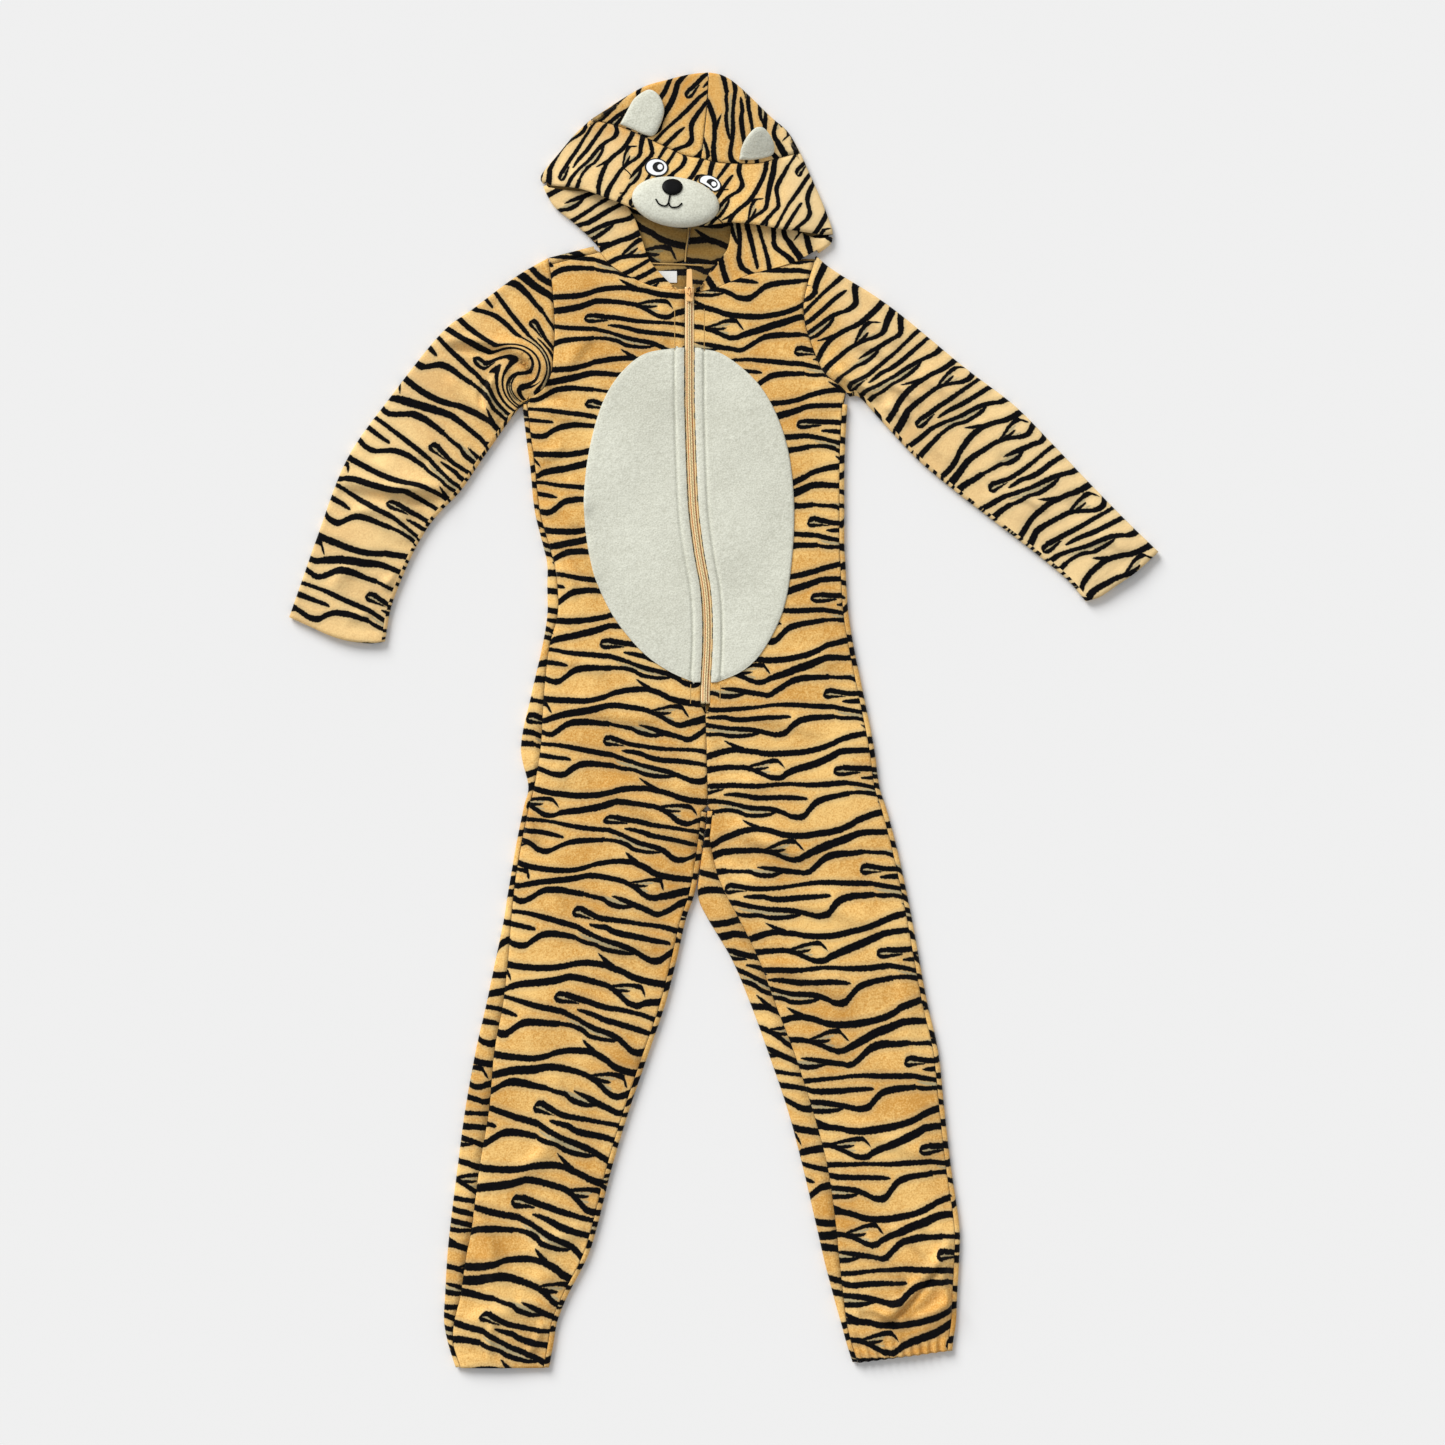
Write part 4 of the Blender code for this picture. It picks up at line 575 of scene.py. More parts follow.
# Finer creases, which only show in the light: the same columns as the folds
CREASES = (
    (-188, 296, -150, 306, 3.1, -3, 4), (-176, 250, -150, 262, 4.7, 3.4, -2),
    (-150, 330, -120, 372, 7, 3, 3), (-96, 424, -44, 398, 7, 3.4, 4),
    (-60, 398, -54, 360, 4.7, 2.6, -2), (-150, 228, -128, 196, 4.7, 3.4, 2),
    (-158, 60, -110, 44, 6.2, 3.5, 3), (-150, 20, -60, 2, 7, 4, -4), (-60, 12, -24, -22, 5.5, -2.6, 3),
    (20, 6, 96, -14, 7, 3.4, 4), (-8, -20, 30, -58, 5.5, -2.6, -3), (60, 60, 110, 52, 5.5, 2.6, 2),
    (-120, -60, -30, -120, 7.8, 4.2, 6), (10, -90, 90, -130, 7.8, 4, -6),
    (-180, -120, -150, -210, 7.8, 3.4, 5), (60, -170, 150, -196, 9.4, 4, 5),
    (150, -180, 178, -300, 8.6, 3.5, 5), (-120, -260, -70, -330, 8.6, 3.5, -6),
    (-200, -280, -150, -360, 9.4, 3.5, 6), (90, -290, 150, -340, 7.8, 3.4, 5),
    (-150, -380, -210, -440, 7.8, 3.5, 4), (120, -380, 200, -410, 7.8, 3.4, -4),
    (-130, -480, -180, -500, 6.2, 3.5, -3), (-240, -500, -200, -560, 5.5, 3.5, 4),
    (-170, -566, -190, -604, 3.9, 3.4, 2), (-216, -560, -222, -604, 3.9, 3, -2),
    (176, -470, 214, -500, 4.7, 4.2, 3), (196, -520, 160, -548, 3.9, -4.5, 3),
    (214, -545, 176, -566, 3.5, 5.2, 3), (130, -540, 158, -560, 4.7, 4, -3),
    (118, -520, 128, -566, 3.9, 3, 3), (-236, 300, -206, 268, 5.5, 4, 3),
    (-262, 330, -224, 296, 7, 4, -4), (-290, 250, -262, 236, 4.7, -3.4, 2),
    (-330, 250, -300, 204, 6.2, 4, 4), (-300, 150, -326, 128, 5.5, 4, 3),
    (-346, 150, -372, 128, 7, 4, -3), (-330, 108, -360, 100, 3.9, 3, 2),
    (130, 386, 166, 352, 7, 3.4, 4), (150, 300, 176, 284, 4.7, 4, 3), (180, 330, 226, 300, 7.8, 3.4, 4),
    (236, 290, 262, 246, 6.2, 3.4, 3), (276, 216, 306, 200, 4.7, 3.5, 2),
    (300, 240, 330, 208, 7, 3.4, 4), (350, 176, 384, 160, 5.5, 3.4, 3),
    (-268, 362, -196, 354, 3.4, 5.2, 3), (-262, 353, -204, 345, 2.6, -4.2, 3),
    (-200, 354, -166, 316, 3.2, 6.4, 6), (-198, 345, -175, 316, 2.4, -5.2, 5),
    (-210, 342, -196, 308, 3, 6, -5), (-202, 338, -190, 312, 2.4, -4.5, -4),
    (-186, 342, -177, 312, 2.6, 5.2, 4), (-216, 330, -220, 292, 3.2, 5, -5),
    (-224, 326, -228, 296, 2.6, -3.4, -4), (-172, 300, -130, 286, 4.4, 3.8, -3),
    (104, 340, 150, 308, 5.5, 6.7, -5), (124, 352, 160, 330, 4.4, -3.9, 4),
    (150, 322, 186, 300, 4.4, 4.8, 4), (-372, 222, -258, 210, 4.4, -3.9, -6),
    (-368, 232, -262, 222, 5.5, 5.3, -6), (-352, 200, -296, 188, 4.4, 4.3, 5),
    (-168, 184, -120, 122, 5.5, 6.2, 5), (-160, 204, -128, 172, 4.4, -3.5, -3),
    (-162, 150, -140, 118, 4.4, 4.8, 3), (-20, -108, 34, -142, 7.7, -4.3, -6),
    (6, -98, 60, -120, 6.6, 4.3, -4), (-40, -96, -24, -150, 5.5, 3.8, 3),
    (-190, -70, -176, -120, 4.4, 4.8, -4), (124, -486, 170, -540, 5.5, 5.8, 6),
    (220, -484, 144, -568, 5.6, 6.6, 5), (214, -500, 150, -574, 2.8, -6.4, 5),
    (150, -474, 206, -520, 6.1, 5.3, 5), (206, -500, 218, -566, 4.4, 5.3, -3),
    (128, -556, 176, -572, 3.9, 4.8, 4), (-252, -440, -214, -520, 5.5, 4.8, 5),
    (-190, -470, -150, -540, 5.5, 4.3, -5), (40, -230, 120, -262, 8.8, 4.3, 5),
    (-150, -190, -80, -214, 8.8, 4.3, -5),
)
GATHER_COUNT = 12
GATHER_HIGH = 2.0
GATHER_REACH = 15.0
HEM_DEPTH = 13.0
WAVES = ((0.9, 61, 47, 0.3), (0.7, -43, 71, 1.9), (0.5, 29, -37, 4.1), (0.35, 17, 23, 2.2))
print("folds and creases:", len(FOLDS) + len(CREASES))

# %% Face, ears and label sizes
MUZZLE = {"centre": (-45, 492), "half": (41.5, 24.0), "turn": -8.0, "thick": 12.0}
NOSE = {"centre": (-48, 505), "half": (9.8, 8.3), "turn": 0.0, "thick": 2.2}
EYE_RIGHT = {"centre": (-63, 525.5), "half": (11.4, 9.0), "turn": -5.0, "thick": 1.3}
EYE_LEFT = {"centre": (-12.5, 510.5), "half": (11.6, 7.6), "turn": -25.0, "thick": 1.3}
EAR_THICK = 4.5
EAR_RIGHT = (
    (-98, 567), (-92, 578), (-85, 590), (-76, 597), (-69, 599), (-62, 595), (-57, 586), (-56, 577),
    (-60, 565), (-66, 556), (-75, 557), (-86, 562),
)
EAR_LEFT = (
    (15, 533), (17, 543), (22, 553), (30, 561), (37, 562), (43, 557), (48, 548), (48, 540), (43, 536),
    (29, 533),
)
EAR_ROOT = 7.0
EAR_GAP = 0.3
NOSE_GAP = 0.2
MUZZLE_CLEAR = 1.04
EAR_RIGHT_TILT = 8.0
EAR_LEFT_TILT = 28.0
print("muzzle half sizes:", MUZZLE["half"])

# %% [markdown]
# ## Curves and heights
#
# A panel is a table of plan points lifted to a height. The outlines are curves through a few points.
# The height at a point depends on how far inside the folded edge it lies: the cloth rolls round the
# edge, then settles to an even loft, and each fold adds a soft ridge or trough.


# %% Curve helpers
def smooth_step(value):
    """Ease from 0 to 1 with level ends."""
    held = np.clip(value, 0.0, 1.0)
    return held * held * (3.0 - 2.0 * held)


def travel(points):
    """How far along a polyline each of its points lies."""
    return np.concatenate([[0.0], np.cumsum(np.linalg.norm(np.diff(points, axis=0), axis=1))])


def points_at(points, places):
    """Points of a polyline at distances along it."""
    reached = travel(points)
    return np.column_stack([np.interp(places, reached, column) for column in points.T])


def trimmed(points, start, end, count=160):
    """Evenly spaced points of a polyline with a length cut off each end."""
    points = np.asarray(points, float)
    return points_at(points, np.linspace(start, travel(points)[-1] - end, count))


def respaced(points, count):
    """The same polyline with evenly spaced points."""
    return trimmed(points, 0.0, 0.0, count)


def curve(points, count=160):
    """A smooth curve through the points, evenly spaced."""
    knots = np.array(points, float)
    ends = np.vstack([2 * knots[0] - knots[1], knots, 2 * knots[-1] - knots[-2]])
    t = np.linspace(0.0, 1.0, 14, endpoint=False)[:, None]
    dense = []
    for a, b, c, d in zip(ends, ends[1:], ends[2:], ends[3:]):
        bend = (2 * a - 5 * b + 4 * c - d) * t ** 2 + (3 * b - 3 * c + d - a) * t ** 3
        dense.append(0.5 * (2 * b + (c - a) * t + bend))
    dense.append(knots[-1:])
    return respaced(np.vstack(dense), count)


def placed_at(points, shares):
    """Points of a curve at given shares of its length."""
    return points_at(points, shares * travel(points)[-1])


def bowed(line, share):
    """How far a line strays from the straight one between its ends."""
    return line - (line[0] * (1 - share) + line[-1] * share)


def crowded(count, crowds):
    """Shares from 0 to 1 that lie closer near each crowd's centre."""
    t = np.linspace(0.0, 1.0, 400)
    density = np.ones_like(t)
    for centre, width, extra in crowds:
        density += extra * np.exp(-((t - centre) / width) ** 2)
    total = np.concatenate([[0.0], np.cumsum((density[1:] + density[:-1]) / 2.0)])
    return np.interp(np.linspace(0.0, 1.0, count), total / total[-1], t)


def joined(first, second, first_count, second_count):
    """Two curves that meet at a corner, as one row of points."""
    return np.vstack([respaced(first, first_count)[:-1], respaced(second, second_count)])


def normals(points, towards):
    """Unit normals of a curve that point towards a place."""
    along = np.gradient(points, axis=0)
    across = np.column_stack([-along[:, 1], along[:, 0]])
    across /= np.linalg.norm(across, axis=1)[:, None]
    flip = np.sign(np.sum(across * (np.array(towards) - points), axis=1))
    return across * flip[:, None]


def beside(points, distance, towards):
    """A curve moved sideways towards a place."""
    return points + normals(points, towards) * distance


SECTION = {
    name: curve([(row[0], row[column]) for row in BODY], 700)[::-1]
    for column, name in enumerate(BODY_COLUMNS)
    if column
}


def across(name, y):
    """Where one edge or seam of the body lies at a height."""
    return np.interp(y, SECTION[name][:, 0], SECTION[name][:, 1])


def edge_line(name, top, bottom):
    """One edge of the body as a plan curve."""
    heights = np.linspace(top, bottom, 120)
    return np.column_stack([across(name, heights), heights])


def segments(lines):
    """Start and end points of every stretch of some polylines."""
    starts = np.vstack([line[:-1] for line in lines])
    ends = np.vstack([line[1:] for line in lines])
    return starts, ends


def distance(points, stretches):
    """Distance of plan points from the nearest stretch, worked out in batches."""
    starts, ends = stretches
    run = ends - starts
    length = np.maximum(np.sum(run * run, axis=1), 1e-9)
    out = []
    for batch in np.array_split(points, max(1, len(points) // 2500)):
        rest = batch[:, None, :] - starts[None]
        t = np.clip(np.sum(rest * run[None], axis=2) / length, 0.0, 1.0)
        out.append(np.min(np.linalg.norm(rest - t[..., None] * run[None], axis=2), axis=1))
    return np.concatenate(out)


print("curves ready")

# %% Folded edges of the body and the hood
SLEEVE_EDGES = (SLEEVE_RIGHT_INNER, SLEEVE_RIGHT_OUTER, SLEEVE_LEFT_INNER, SLEEVE_LEFT_OUTER)
BODY_EDGES = segments([
    edge_line("right_edge", ARMPIT_Y, HEM_RIGHT_Y),
    edge_line("left_edge", ARMPIT_Y, HEM_LEFT_OUTER_Y),
    edge_line("right_inner", CROTCH_Y - LEG_START, HEM_RIGHT_Y),
    edge_line("left_inner", CROTCH_Y - LEG_START, HEM_LEFT_INNER_Y),
    curve(SHOULDER_EDGE_RIGHT, 20),
    *(curve(edge, 90) for edge in SLEEVE_EDGES),
])
HOOD_CURVES = [curve(edge) for edge in (
    HOOD_EDGE_RIGHT_TOP, HOOD_EDGE_LEFT_TOP, HOOD_EDGE_RIGHT_BAND, HOOD_EDGE_LEFT_BAND,
    HOOD_EDGE_RIGHT_LOW, HOOD_EDGE_LEFT_LOW,
)]
HOOD_EDGES = segments(HOOD_CURVES)
HOOD_RIGHT_TOP, HOOD_LEFT_TOP, HOOD_RIGHT_BAND, HOOD_LEFT_BAND = HOOD_CURVES[:4]
HOOD_RIGHT_LOW, HOOD_LEFT_LOW = HOOD_CURVES[4:]
BAND_SEAM = np.vstack([
    respaced(curve(BAND_SEAM_RIGHT), 24)[::-1],
    respaced(curve(BAND_SEAM_LEFT), 24)[1:],
])
LEG_YS = np.linspace(-90, -600, 90)
LEFT_LEG_XS = np.maximum(across("left_seam", LEG_YS), across("left_inner", LEG_YS) + SEAM_INSET)
SEAM_LINES = segments([
    edge_line("right_seam", ARMPIT_Y, HEM_RIGHT_Y),
    np.column_stack([LEFT_LEG_XS, LEG_YS]),
    edge_line("right_inner", ZIP_BOTTOM, CROTCH_Y),
    curve(ARMHOLE_RIGHT, 40),
    curve(ARMHOLE_LEFT, 40),
    curve(SHOULDER_RIGHT, 10),
    curve(NECK_FRONT_RIGHT, 20),
    curve(NECK_FRONT_LEFT, 20),
])
print("edge stretches:", len(BODY_EDGES[0]), "seam stretches:", len(SEAM_LINES[0]))

# %% Heights
FOLD_START = 0.08
FOLD_FADE = 0.34
FOLD_LEAN = (1.35, 0.8)
WAVE_SHARE = 0.45
WAVE_PACE = 2.1
RELIEF_START = 8.0
SEAM_GROOVE = 0.75
SLEEVE_CUFFS = segments([curve(SLEEVE_RIGHT_HEM, 20), curve(SLEEVE_LEFT_HEM, 20)])
CUFF_DEPTH = 12.0
CUFF_THICK = 0.4
CUFF_STITCH = 1.1
HEMS_BELOW = -400.0
HEM_THICK = 0.3
HEM_STITCH = 0.7
ANKLE_WIDTH = 90.0


def edge_profile(depth, loft, reach):
    """Height of a top layer at a depth inside its rolled edge."""
    inside = np.clip(ROLL - depth, 0.0, ROLL)
    roll = ROLL + np.sqrt(ROLL ** 2 - inside ** 2)
    return roll + loft * (1.0 - np.exp(-(np.maximum(depth - ROLL, 0.0) / reach) ** 2))


def folds(points):
    """Height that the folds and creases add at plan points."""
    total = np.zeros(len(points))
    for x0, y0, x1, y1, half_width, height, bow in FOLDS + CREASES:
        start = np.array((x0, y0), float)
        run = np.array((x1, y1), float) - start
        length = np.linalg.norm(run)
        run /= length
        rest = points - start
        t = rest @ run / length
        side = rest @ np.array((-run[1], run[0])) - bow * 4.0 * t * (1.0 - t)
        window = smooth_step(np.minimum(t + FOLD_START, 1.0 + FOLD_START - t) / FOLD_FADE)
        lean = np.where(side > 0, *FOLD_LEAN)
        total += height * window * np.exp(-(side / half_width / lean) ** 2)
    return total


def waves(points):
    """The slow unevenness of cloth that lies loose."""
    total = np.zeros(len(points))
    x, y = points.T
    for height, along_x, along_y, start in WAVES:
        total += height * WAVE_SHARE * np.sin(x / along_x * WAVE_PACE + y / along_y * WAVE_PACE + start)
    return total


def gathers(points):
    """Height that the elastic hem's gathers add at the left ankle."""
    x, y = points.T
    inner, outer = across("left_inner", y), across("left_edge", y)
    share = (x - inner) / (outer - inner)
    near = np.exp(-((y - (HEM_LEFT_INNER_Y + HEM_LEFT_SLANT * share)) / GATHER_REACH) ** 2)
    on_leg = (x > 0) & (share > 0) & (share < 1)
    wave = np.cos(2.0 * math.pi * GATHER_COUNT * share)
    return np.where(on_leg, GATHER_HIGH * near * wave, 0.0)


def hem_lines(points):
    """The shallow line of stitching above the hems, and the turned cloth below it."""
    x, y = points.T
    share = (x - across("left_inner", y)) / ANKLE_WIDTH
    left_hem = HEM_LEFT_INNER_Y + HEM_LEFT_SLANT * np.clip(share, 0, 1)
    above = y - np.where(x > 0, left_hem, HEM_RIGHT_Y)
    turned_up = HEM_THICK * smooth_step((HEM_DEPTH - above) / 2.0)
    line = HEM_STITCH * np.exp(-((above - HEM_DEPTH) / 1.3) ** 2)
    return np.where(y < HEMS_BELOW, turned_up - line, 0.0)


def body_top(points):
    """Height of the body's and sleeves' upper layer."""
    cuff = distance(points, SLEEVE_CUFFS)
    depth = distance(points, BODY_EDGES)
    seam = distance(points, SEAM_LINES)
    inside = depth - ROLL
    relief = (folds(points) + gathers(points) + waves(points)) * smooth_step(inside / RELIEF_START)
    turned_in = CUFF_THICK * smooth_step((CUFF_DEPTH - cuff) / 3.0)
    turned_in -= CUFF_STITCH * np.exp(-((cuff - CUFF_DEPTH) / 1.9) ** 2)
    relief += (hem_lines(points) + turned_in) * smooth_step(inside / 3.0)
    groove = SEAM_GROOVE * np.exp(-(seam / 2.2) ** 2) * smooth_step(inside / 2.0)
    return edge_profile(depth, LOFT, LOFT_REACH) + relief - groove


def hood_top(points, loft=LOFT):
    """Height of the hood's upper layer."""
    depth = distance(points, HOOD_EDGES)
    loose = waves(points * 1.3) * 0.8 * smooth_step((depth - ROLL) / RELIEF_START)
    return edge_profile(depth, loft, LOFT_REACH) + loose


def crown_top(points):
    """Height of the hood's crown."""
    return hood_top(points, CROWN_LOFT)


def band_top(points):
    """Height of the hood band, which rises towards the opening and rolls under there."""
    from_seam = distance(points, segments([BAND_SEAM]))
    from_edge = distance(points, HOOD_EDGES)
    rise = BAND_RISE * smooth_step(from_seam / BAND_DEEP) * smooth_step((from_edge - ROLL) / BAND_RAMP)
    return crown_top(points) + rise - 0.8 * np.exp(-(from_seam / 2.4) ** 2)


print("heights ready")

# %% Grids of cloth
def laid(rows, height, place):
    """Plan rows lifted to a height, a number or a function, with their places on the print."""
    flat = rows.reshape(-1, 2)
    z = height(flat) if callable(height) else np.full(len(flat), float(height))
    return np.column_stack([flat, z]).reshape(*rows.shape[:2], 3), place(rows)


def rolled_cloth(edge, inward, place):
    """Rows that run round a rolled edge, with the print carried on round it."""
    angles = np.radians(np.linspace(-90, 90, EDGE_STEPS + 1))

    def beside_edge(depth):
        return edge[:, None, :] + inward[:, None, :] * depth[None, :, None]

    plan = beside_edge(ROLL - ROLL * np.cos(angles))
    z = np.broadcast_to(ROLL + ROLL * np.sin(angles), plan.shape[:2])
    unrolled = beside_edge(ROLL - ROLL * (math.pi / 2.0 - angles))
    return np.concatenate([plan, z[..., None]], axis=2), place(unrolled)


def between(first, second, columns):
    """Straight rows from one curve to another."""
    t = np.linspace(0.0, 1.0, columns)[None, :, None]
    return first[:, None, :] * (1.0 - t) + second[:, None, :] * t


def coons(top, bottom, left, right):
    """Plan grid inside four curves; top and bottom run from left to right."""
    rows, columns = len(left), len(top)
    u = np.linspace(0.0, 1.0, columns)[None, :, None]
    v = np.linspace(0.0, 1.0, rows)[:, None, None]
    down = top[None] * (1.0 - v) + bottom[None] * v
    over = left[:, None] * (1.0 - u) + right[:, None] * u
    corners = (top[0] * (1 - u) + top[-1] * u) * (1 - v) + (bottom[0] * (1 - u) + bottom[-1] * u) * v
    return down + over - corners


def yoke_rows(top, start, end):
    """Rows that ease from a shaped top line down to a straight one."""
    fall = np.linspace(0.0, 1.0, len(start))[:, None, None]
    share = np.linspace(0.0, 1.0, len(top))[:, None]
    return between(start, end, len(top)) + (1.0 - fall) ** 1.3 * bowed(top, share)[None]


print("grids ready")

# %% [markdown]
# ## Sewing fine panels
#
# A panel is laid as one or more grids that meet at the rolled edges. Each grid point also has a place
# on the printed cloth, in metres, so that the stripes run round an edge without a break. A Solidify
# modifier gives the fleece its thickness on the inner side, and shows there the duller inside,
# darkened with painted shade.


# %% Laying cloth
FLAT_UP = 0.9


def face_outwards(bm, top_is_out=True):
    """Turn a sheet so that its top, or its underside, faces out."""
    bmesh.ops.recalc_face_normals(bm, faces=bm.faces)
    way = 1.0 if top_is_out else -1.0

    def outermost(face):
        """Furthest out first, then largest."""
        return round(way * face.calc_center_median().z, 6), face.calc_area()

    probe = max(bm.faces, key=outermost)
    if (probe.normal.z > 0) != top_is_out:
        bmesh.ops.reverse_faces(bm, faces=bm.faces)


def shown(bm, name, finish):
    """A bmesh as an object in the scene, with its finish."""
    mesh = bpy.data.meshes.new(name)
    bm.to_mesh(mesh)
    bm.free()
    mesh.materials.append(finish)
    mesh.shade_smooth()
    return add_object(name, mesh)


def lay_cloth(name, grids, finish, wall=WALL, top_is_out=True, painted_shade_inside=None):
    """Cloth over grids of points and print places, its wall on the inner side; a pillow has none."""
    bm = bmesh.new()
    cloth = bm.loops.layers.uv.new("cloth")
    for points, places in grids:
        rows, columns = points.shape[:2]
        made = bmesh.ops.create_grid(bm, x_segments=columns - 1, y_segments=rows - 1, size=1.0)["verts"]
        world = (points.reshape(-1, 3) + (SHIFT_X, SHIFT_Y, 0.0)) * MM
        for vert, point, place in zip(made, world.tolist(), places.reshape(-1, 2).tolist()):
            vert.co = point
            for loop in vert.link_loops:
                loop[cloth].uv = place
    bmesh.ops.remove_doubles(bm, verts=bm.verts, dist=MERGE * MM)
    bmesh.ops.dissolve_degenerate(bm, edges=bm.edges, dist=MERGE * MM)
    face_outwards(bm, top_is_out)
    if not top_is_out:
        # A face on the table that looks up has folded over its neighbours
        low = [face for face in bm.faces if face.calc_center_median().z < MERGE * MM]
        folded = [face for face in low if face.normal.z > FLAT_UP]
        bmesh.ops.delete(bm, geom=folded, context="FACES")
    piece = shown(bm, name + "_cloth", finish)
    if painted_shade_inside:
        piece.data.materials.append(painted_shade_inside)
    if wall:
        thickness = piece.modifiers.new("wall", "SOLIDIFY")
        thickness.thickness = wall * MM
        thickness.offset = -1.0
        thickness.use_quality_normals = True
        # Inner faces take the duller inside finish, darkened with painted shade
        thickness.material_offset = 1 if painted_shade_inside else 0
    return piece


def sewn(piece, node):
    """The piece stands for a CAD node, which is hidden, and rides with the garment."""
    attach(piece, "garment")
    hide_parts(node)
    faces = piece.data.polygons
    print("%-18s %6d faces, outer face %.4f m2" % (piece.name, len(faces), sum(f.area for f in faces)))
    return piece


def fleece(name, grids, top_is_out=True):
    """A panel of striped fleece with its duller inside, darkened with painted shade."""
    piece = lay_cloth(name, grids, FLEECE, top_is_out=top_is_out, painted_shade_inside=FLEECE_INSIDE_PAINTED_SHADE)
    return sewn(piece, name)


print("ready to sew")

# %% [markdown]
# ## Where each panel was cut from the print
#
# On a front, the print's rows follow the body and the leg, so the chart's axis is a gentle curve down
# the panel. Three columns describe it: the height on the garment, where the axis is, and how far
# along the repeat it has come. On the hood, the cloth was cut at several angles.

# %% Print axes on the fronts
AXIS_LEFT = (
    (430, 68, -3.38), (351, 70, -2.883), (281, 75, -2.428), (189, 83, -1.886), (116, 89, -1.428),
    (27, 97, -0.886), (-48, 111, -0.43), (-140, 133, 0.114), (-221, 152, 0.572), (-322, 174, 1.114),
    (-414, 192, 1.614), (-505, 206, 2.114), (-600, 218, 2.614),
)
AXIS_RIGHT = (
    (450, -47, -0.87), (386, -48, -0.438), (303, -48, 0.117), (240, -44, 0.52), (82, -32, 1.52),
    (5, -33, 1.98), (-87, -26, 2.52), (-159, -57, 2.98), (-260, -74, 3.52), (-346, -92, 3.98),
    (-454, -114, 4.52), (-546, -142, 4.98), (-612, -160, 5.33),
)
TILT_LEFT = ((330, 6), (200, 8), (0, 9), (-200, 11), (-600, 11))
TILT_RIGHT = ((330, 2), (243, 1), (60, 1), (-40, 0), (-100, -1), (-160, -3), (-250, -5), (-610, -6))


def print_front(axis, tilt, start_u):
    """The place on the printed cloth under a point of a front."""
    axis = np.array(sorted(axis), float)
    tilt = np.array(sorted(tilt), float)

    def place(points):
        x, y = points.reshape(-1, points.shape[-1]).T[:2]
        angle = np.radians(np.interp(y, tilt[:, 0], tilt[:, 1]))
        foot = y
        for _ in range(3):
            foot = y - (x - beyond(foot, axis, 1)) * np.tan(angle)
        u = (x - beyond(foot, axis, 1)) * MM / np.cos(angle) + start_u * ACROSS
        return np.column_stack([u, beyond(foot, axis, 2) * ALONG]).reshape(*points.shape[:-1], 2)

    return place


def beyond(height, axis, column):
    """A column of an axis table, carried on straight past both ends."""
    inside = np.interp(height, axis[:, 0], axis[:, column])
    low = (axis[1, column] - axis[0, column]) / (axis[1, 0] - axis[0, 0])
    high = (axis[-1, column] - axis[-2, column]) / (axis[-1, 0] - axis[-2, 0])
    inside += np.minimum(height - axis[0, 0], 0.0) * low
    return inside + np.maximum(height - axis[-1, 0], 0.0) * high


def print_along(stripes, start_u, stretch=1.0):
    """The place on the print beside an axis whose stripes turn: rows of V, x, y and stripe angle."""
    stripes = np.array(stripes, float)
    v = np.linspace(stripes[0, 0] - 0.6, stripes[-1, 0] + 0.5, 240)
    axis = np.column_stack([beyond(v, stripes, 1), beyond(v, stripes, 2)])
    turn = np.radians(beyond(v, stripes, 3))
    across_way = np.column_stack([np.cos(turn), np.sin(turn)])
    down_way = np.column_stack([np.sin(turn), -np.cos(turn)])

    def place(points):
        flat = points.reshape(-1, points.shape[-1])[:, :2]
        below = flat @ down_way.T - (axis * down_way).sum(axis=1)
        beside_axis = flat @ across_way.T - (axis * across_way).sum(axis=1)
        later = np.clip(np.argmax(below <= 0.0, axis=1), 1, len(v) - 1)
        each = np.arange(len(flat))
        step = below[each, later - 1] / (below[each, later - 1] - below[each, later])
        u = beside_axis[each, later - 1] * (1.0 - step) + beside_axis[each, later] * step
        found = v[later - 1] * (1.0 - step) + v[later] * step
        return np.column_stack([u * MM / stretch + start_u * ACROSS, found * ALONG])

    return place


def swirled(place, centre, reach, turn):
    """The same print where the cloth has been pushed round into a swirl."""

    def swirl(points):
        x, y = (points.reshape(-1, points.shape[-1])[:, :2] - centre).T
        near = np.clip(1.0 - (np.hypot(x, y) / reach) ** 2, 0.0, 1.0) ** 2
        cos, sin = np.cos(turn * near), np.sin(turn * near)
        return place(np.column_stack([x * cos - y * sin, x * sin + y * cos]) + centre)

    return swirl


def print_at(angle, start=(0.0, 0.0), stretch=1.0):
    """The place on cloth cut at an angle."""
    cos, sin = math.cos(math.radians(angle)), math.sin(math.radians(angle))

    def place(points):
        x, y = points[..., 0] * MM / stretch, points[..., 1] * MM / stretch
        return np.stack([x * cos + y * sin + start[0], x * sin - y * cos + start[1]], axis=-1)

    return place


PRINT_LEFT = print_front(AXIS_LEFT, TILT_LEFT, 0.967)
PRINT_RIGHT = print_front(AXIS_RIGHT, TILT_RIGHT, 1.576)
STRIPES_RIGHT = (
    (-0.38, -150, 456, -50), (0.117, -184, 380, -44), (0.5625, -236, 346, -36), (1.117, -280, 263, -29),
    (1.5625, -319, 209, -22), (2.117, -340, 119, -14), (2.37, -348, 78, -13),
)
STRIPES_LEFT = (
    (-0.6, 67, 421, 54), (-0.052, 149, 379, 49), (0.495, 231, 336, 44.5),
    (0.948, 290, 285, 42), (1.495, 356, 214, 40), (1.95, 410, 155, 38),
)
PRINT_SLEEVE_RIGHT = swirled(print_along(STRIPES_RIGHT, 0.935), (-189.0, 328.0), 40.0, 2.2)
PRINT_SLEEVE_LEFT = print_along(STRIPES_LEFT, 0.577, 0.88)
PRINT_BACK_RIGHT = print_at(2.0, (0.05, 0.02))
PRINT_BACK_LEFT = print_at(-3.0, (0.11, 0.07))
print("print axes:", len(AXIS_LEFT), len(AXIS_RIGHT))

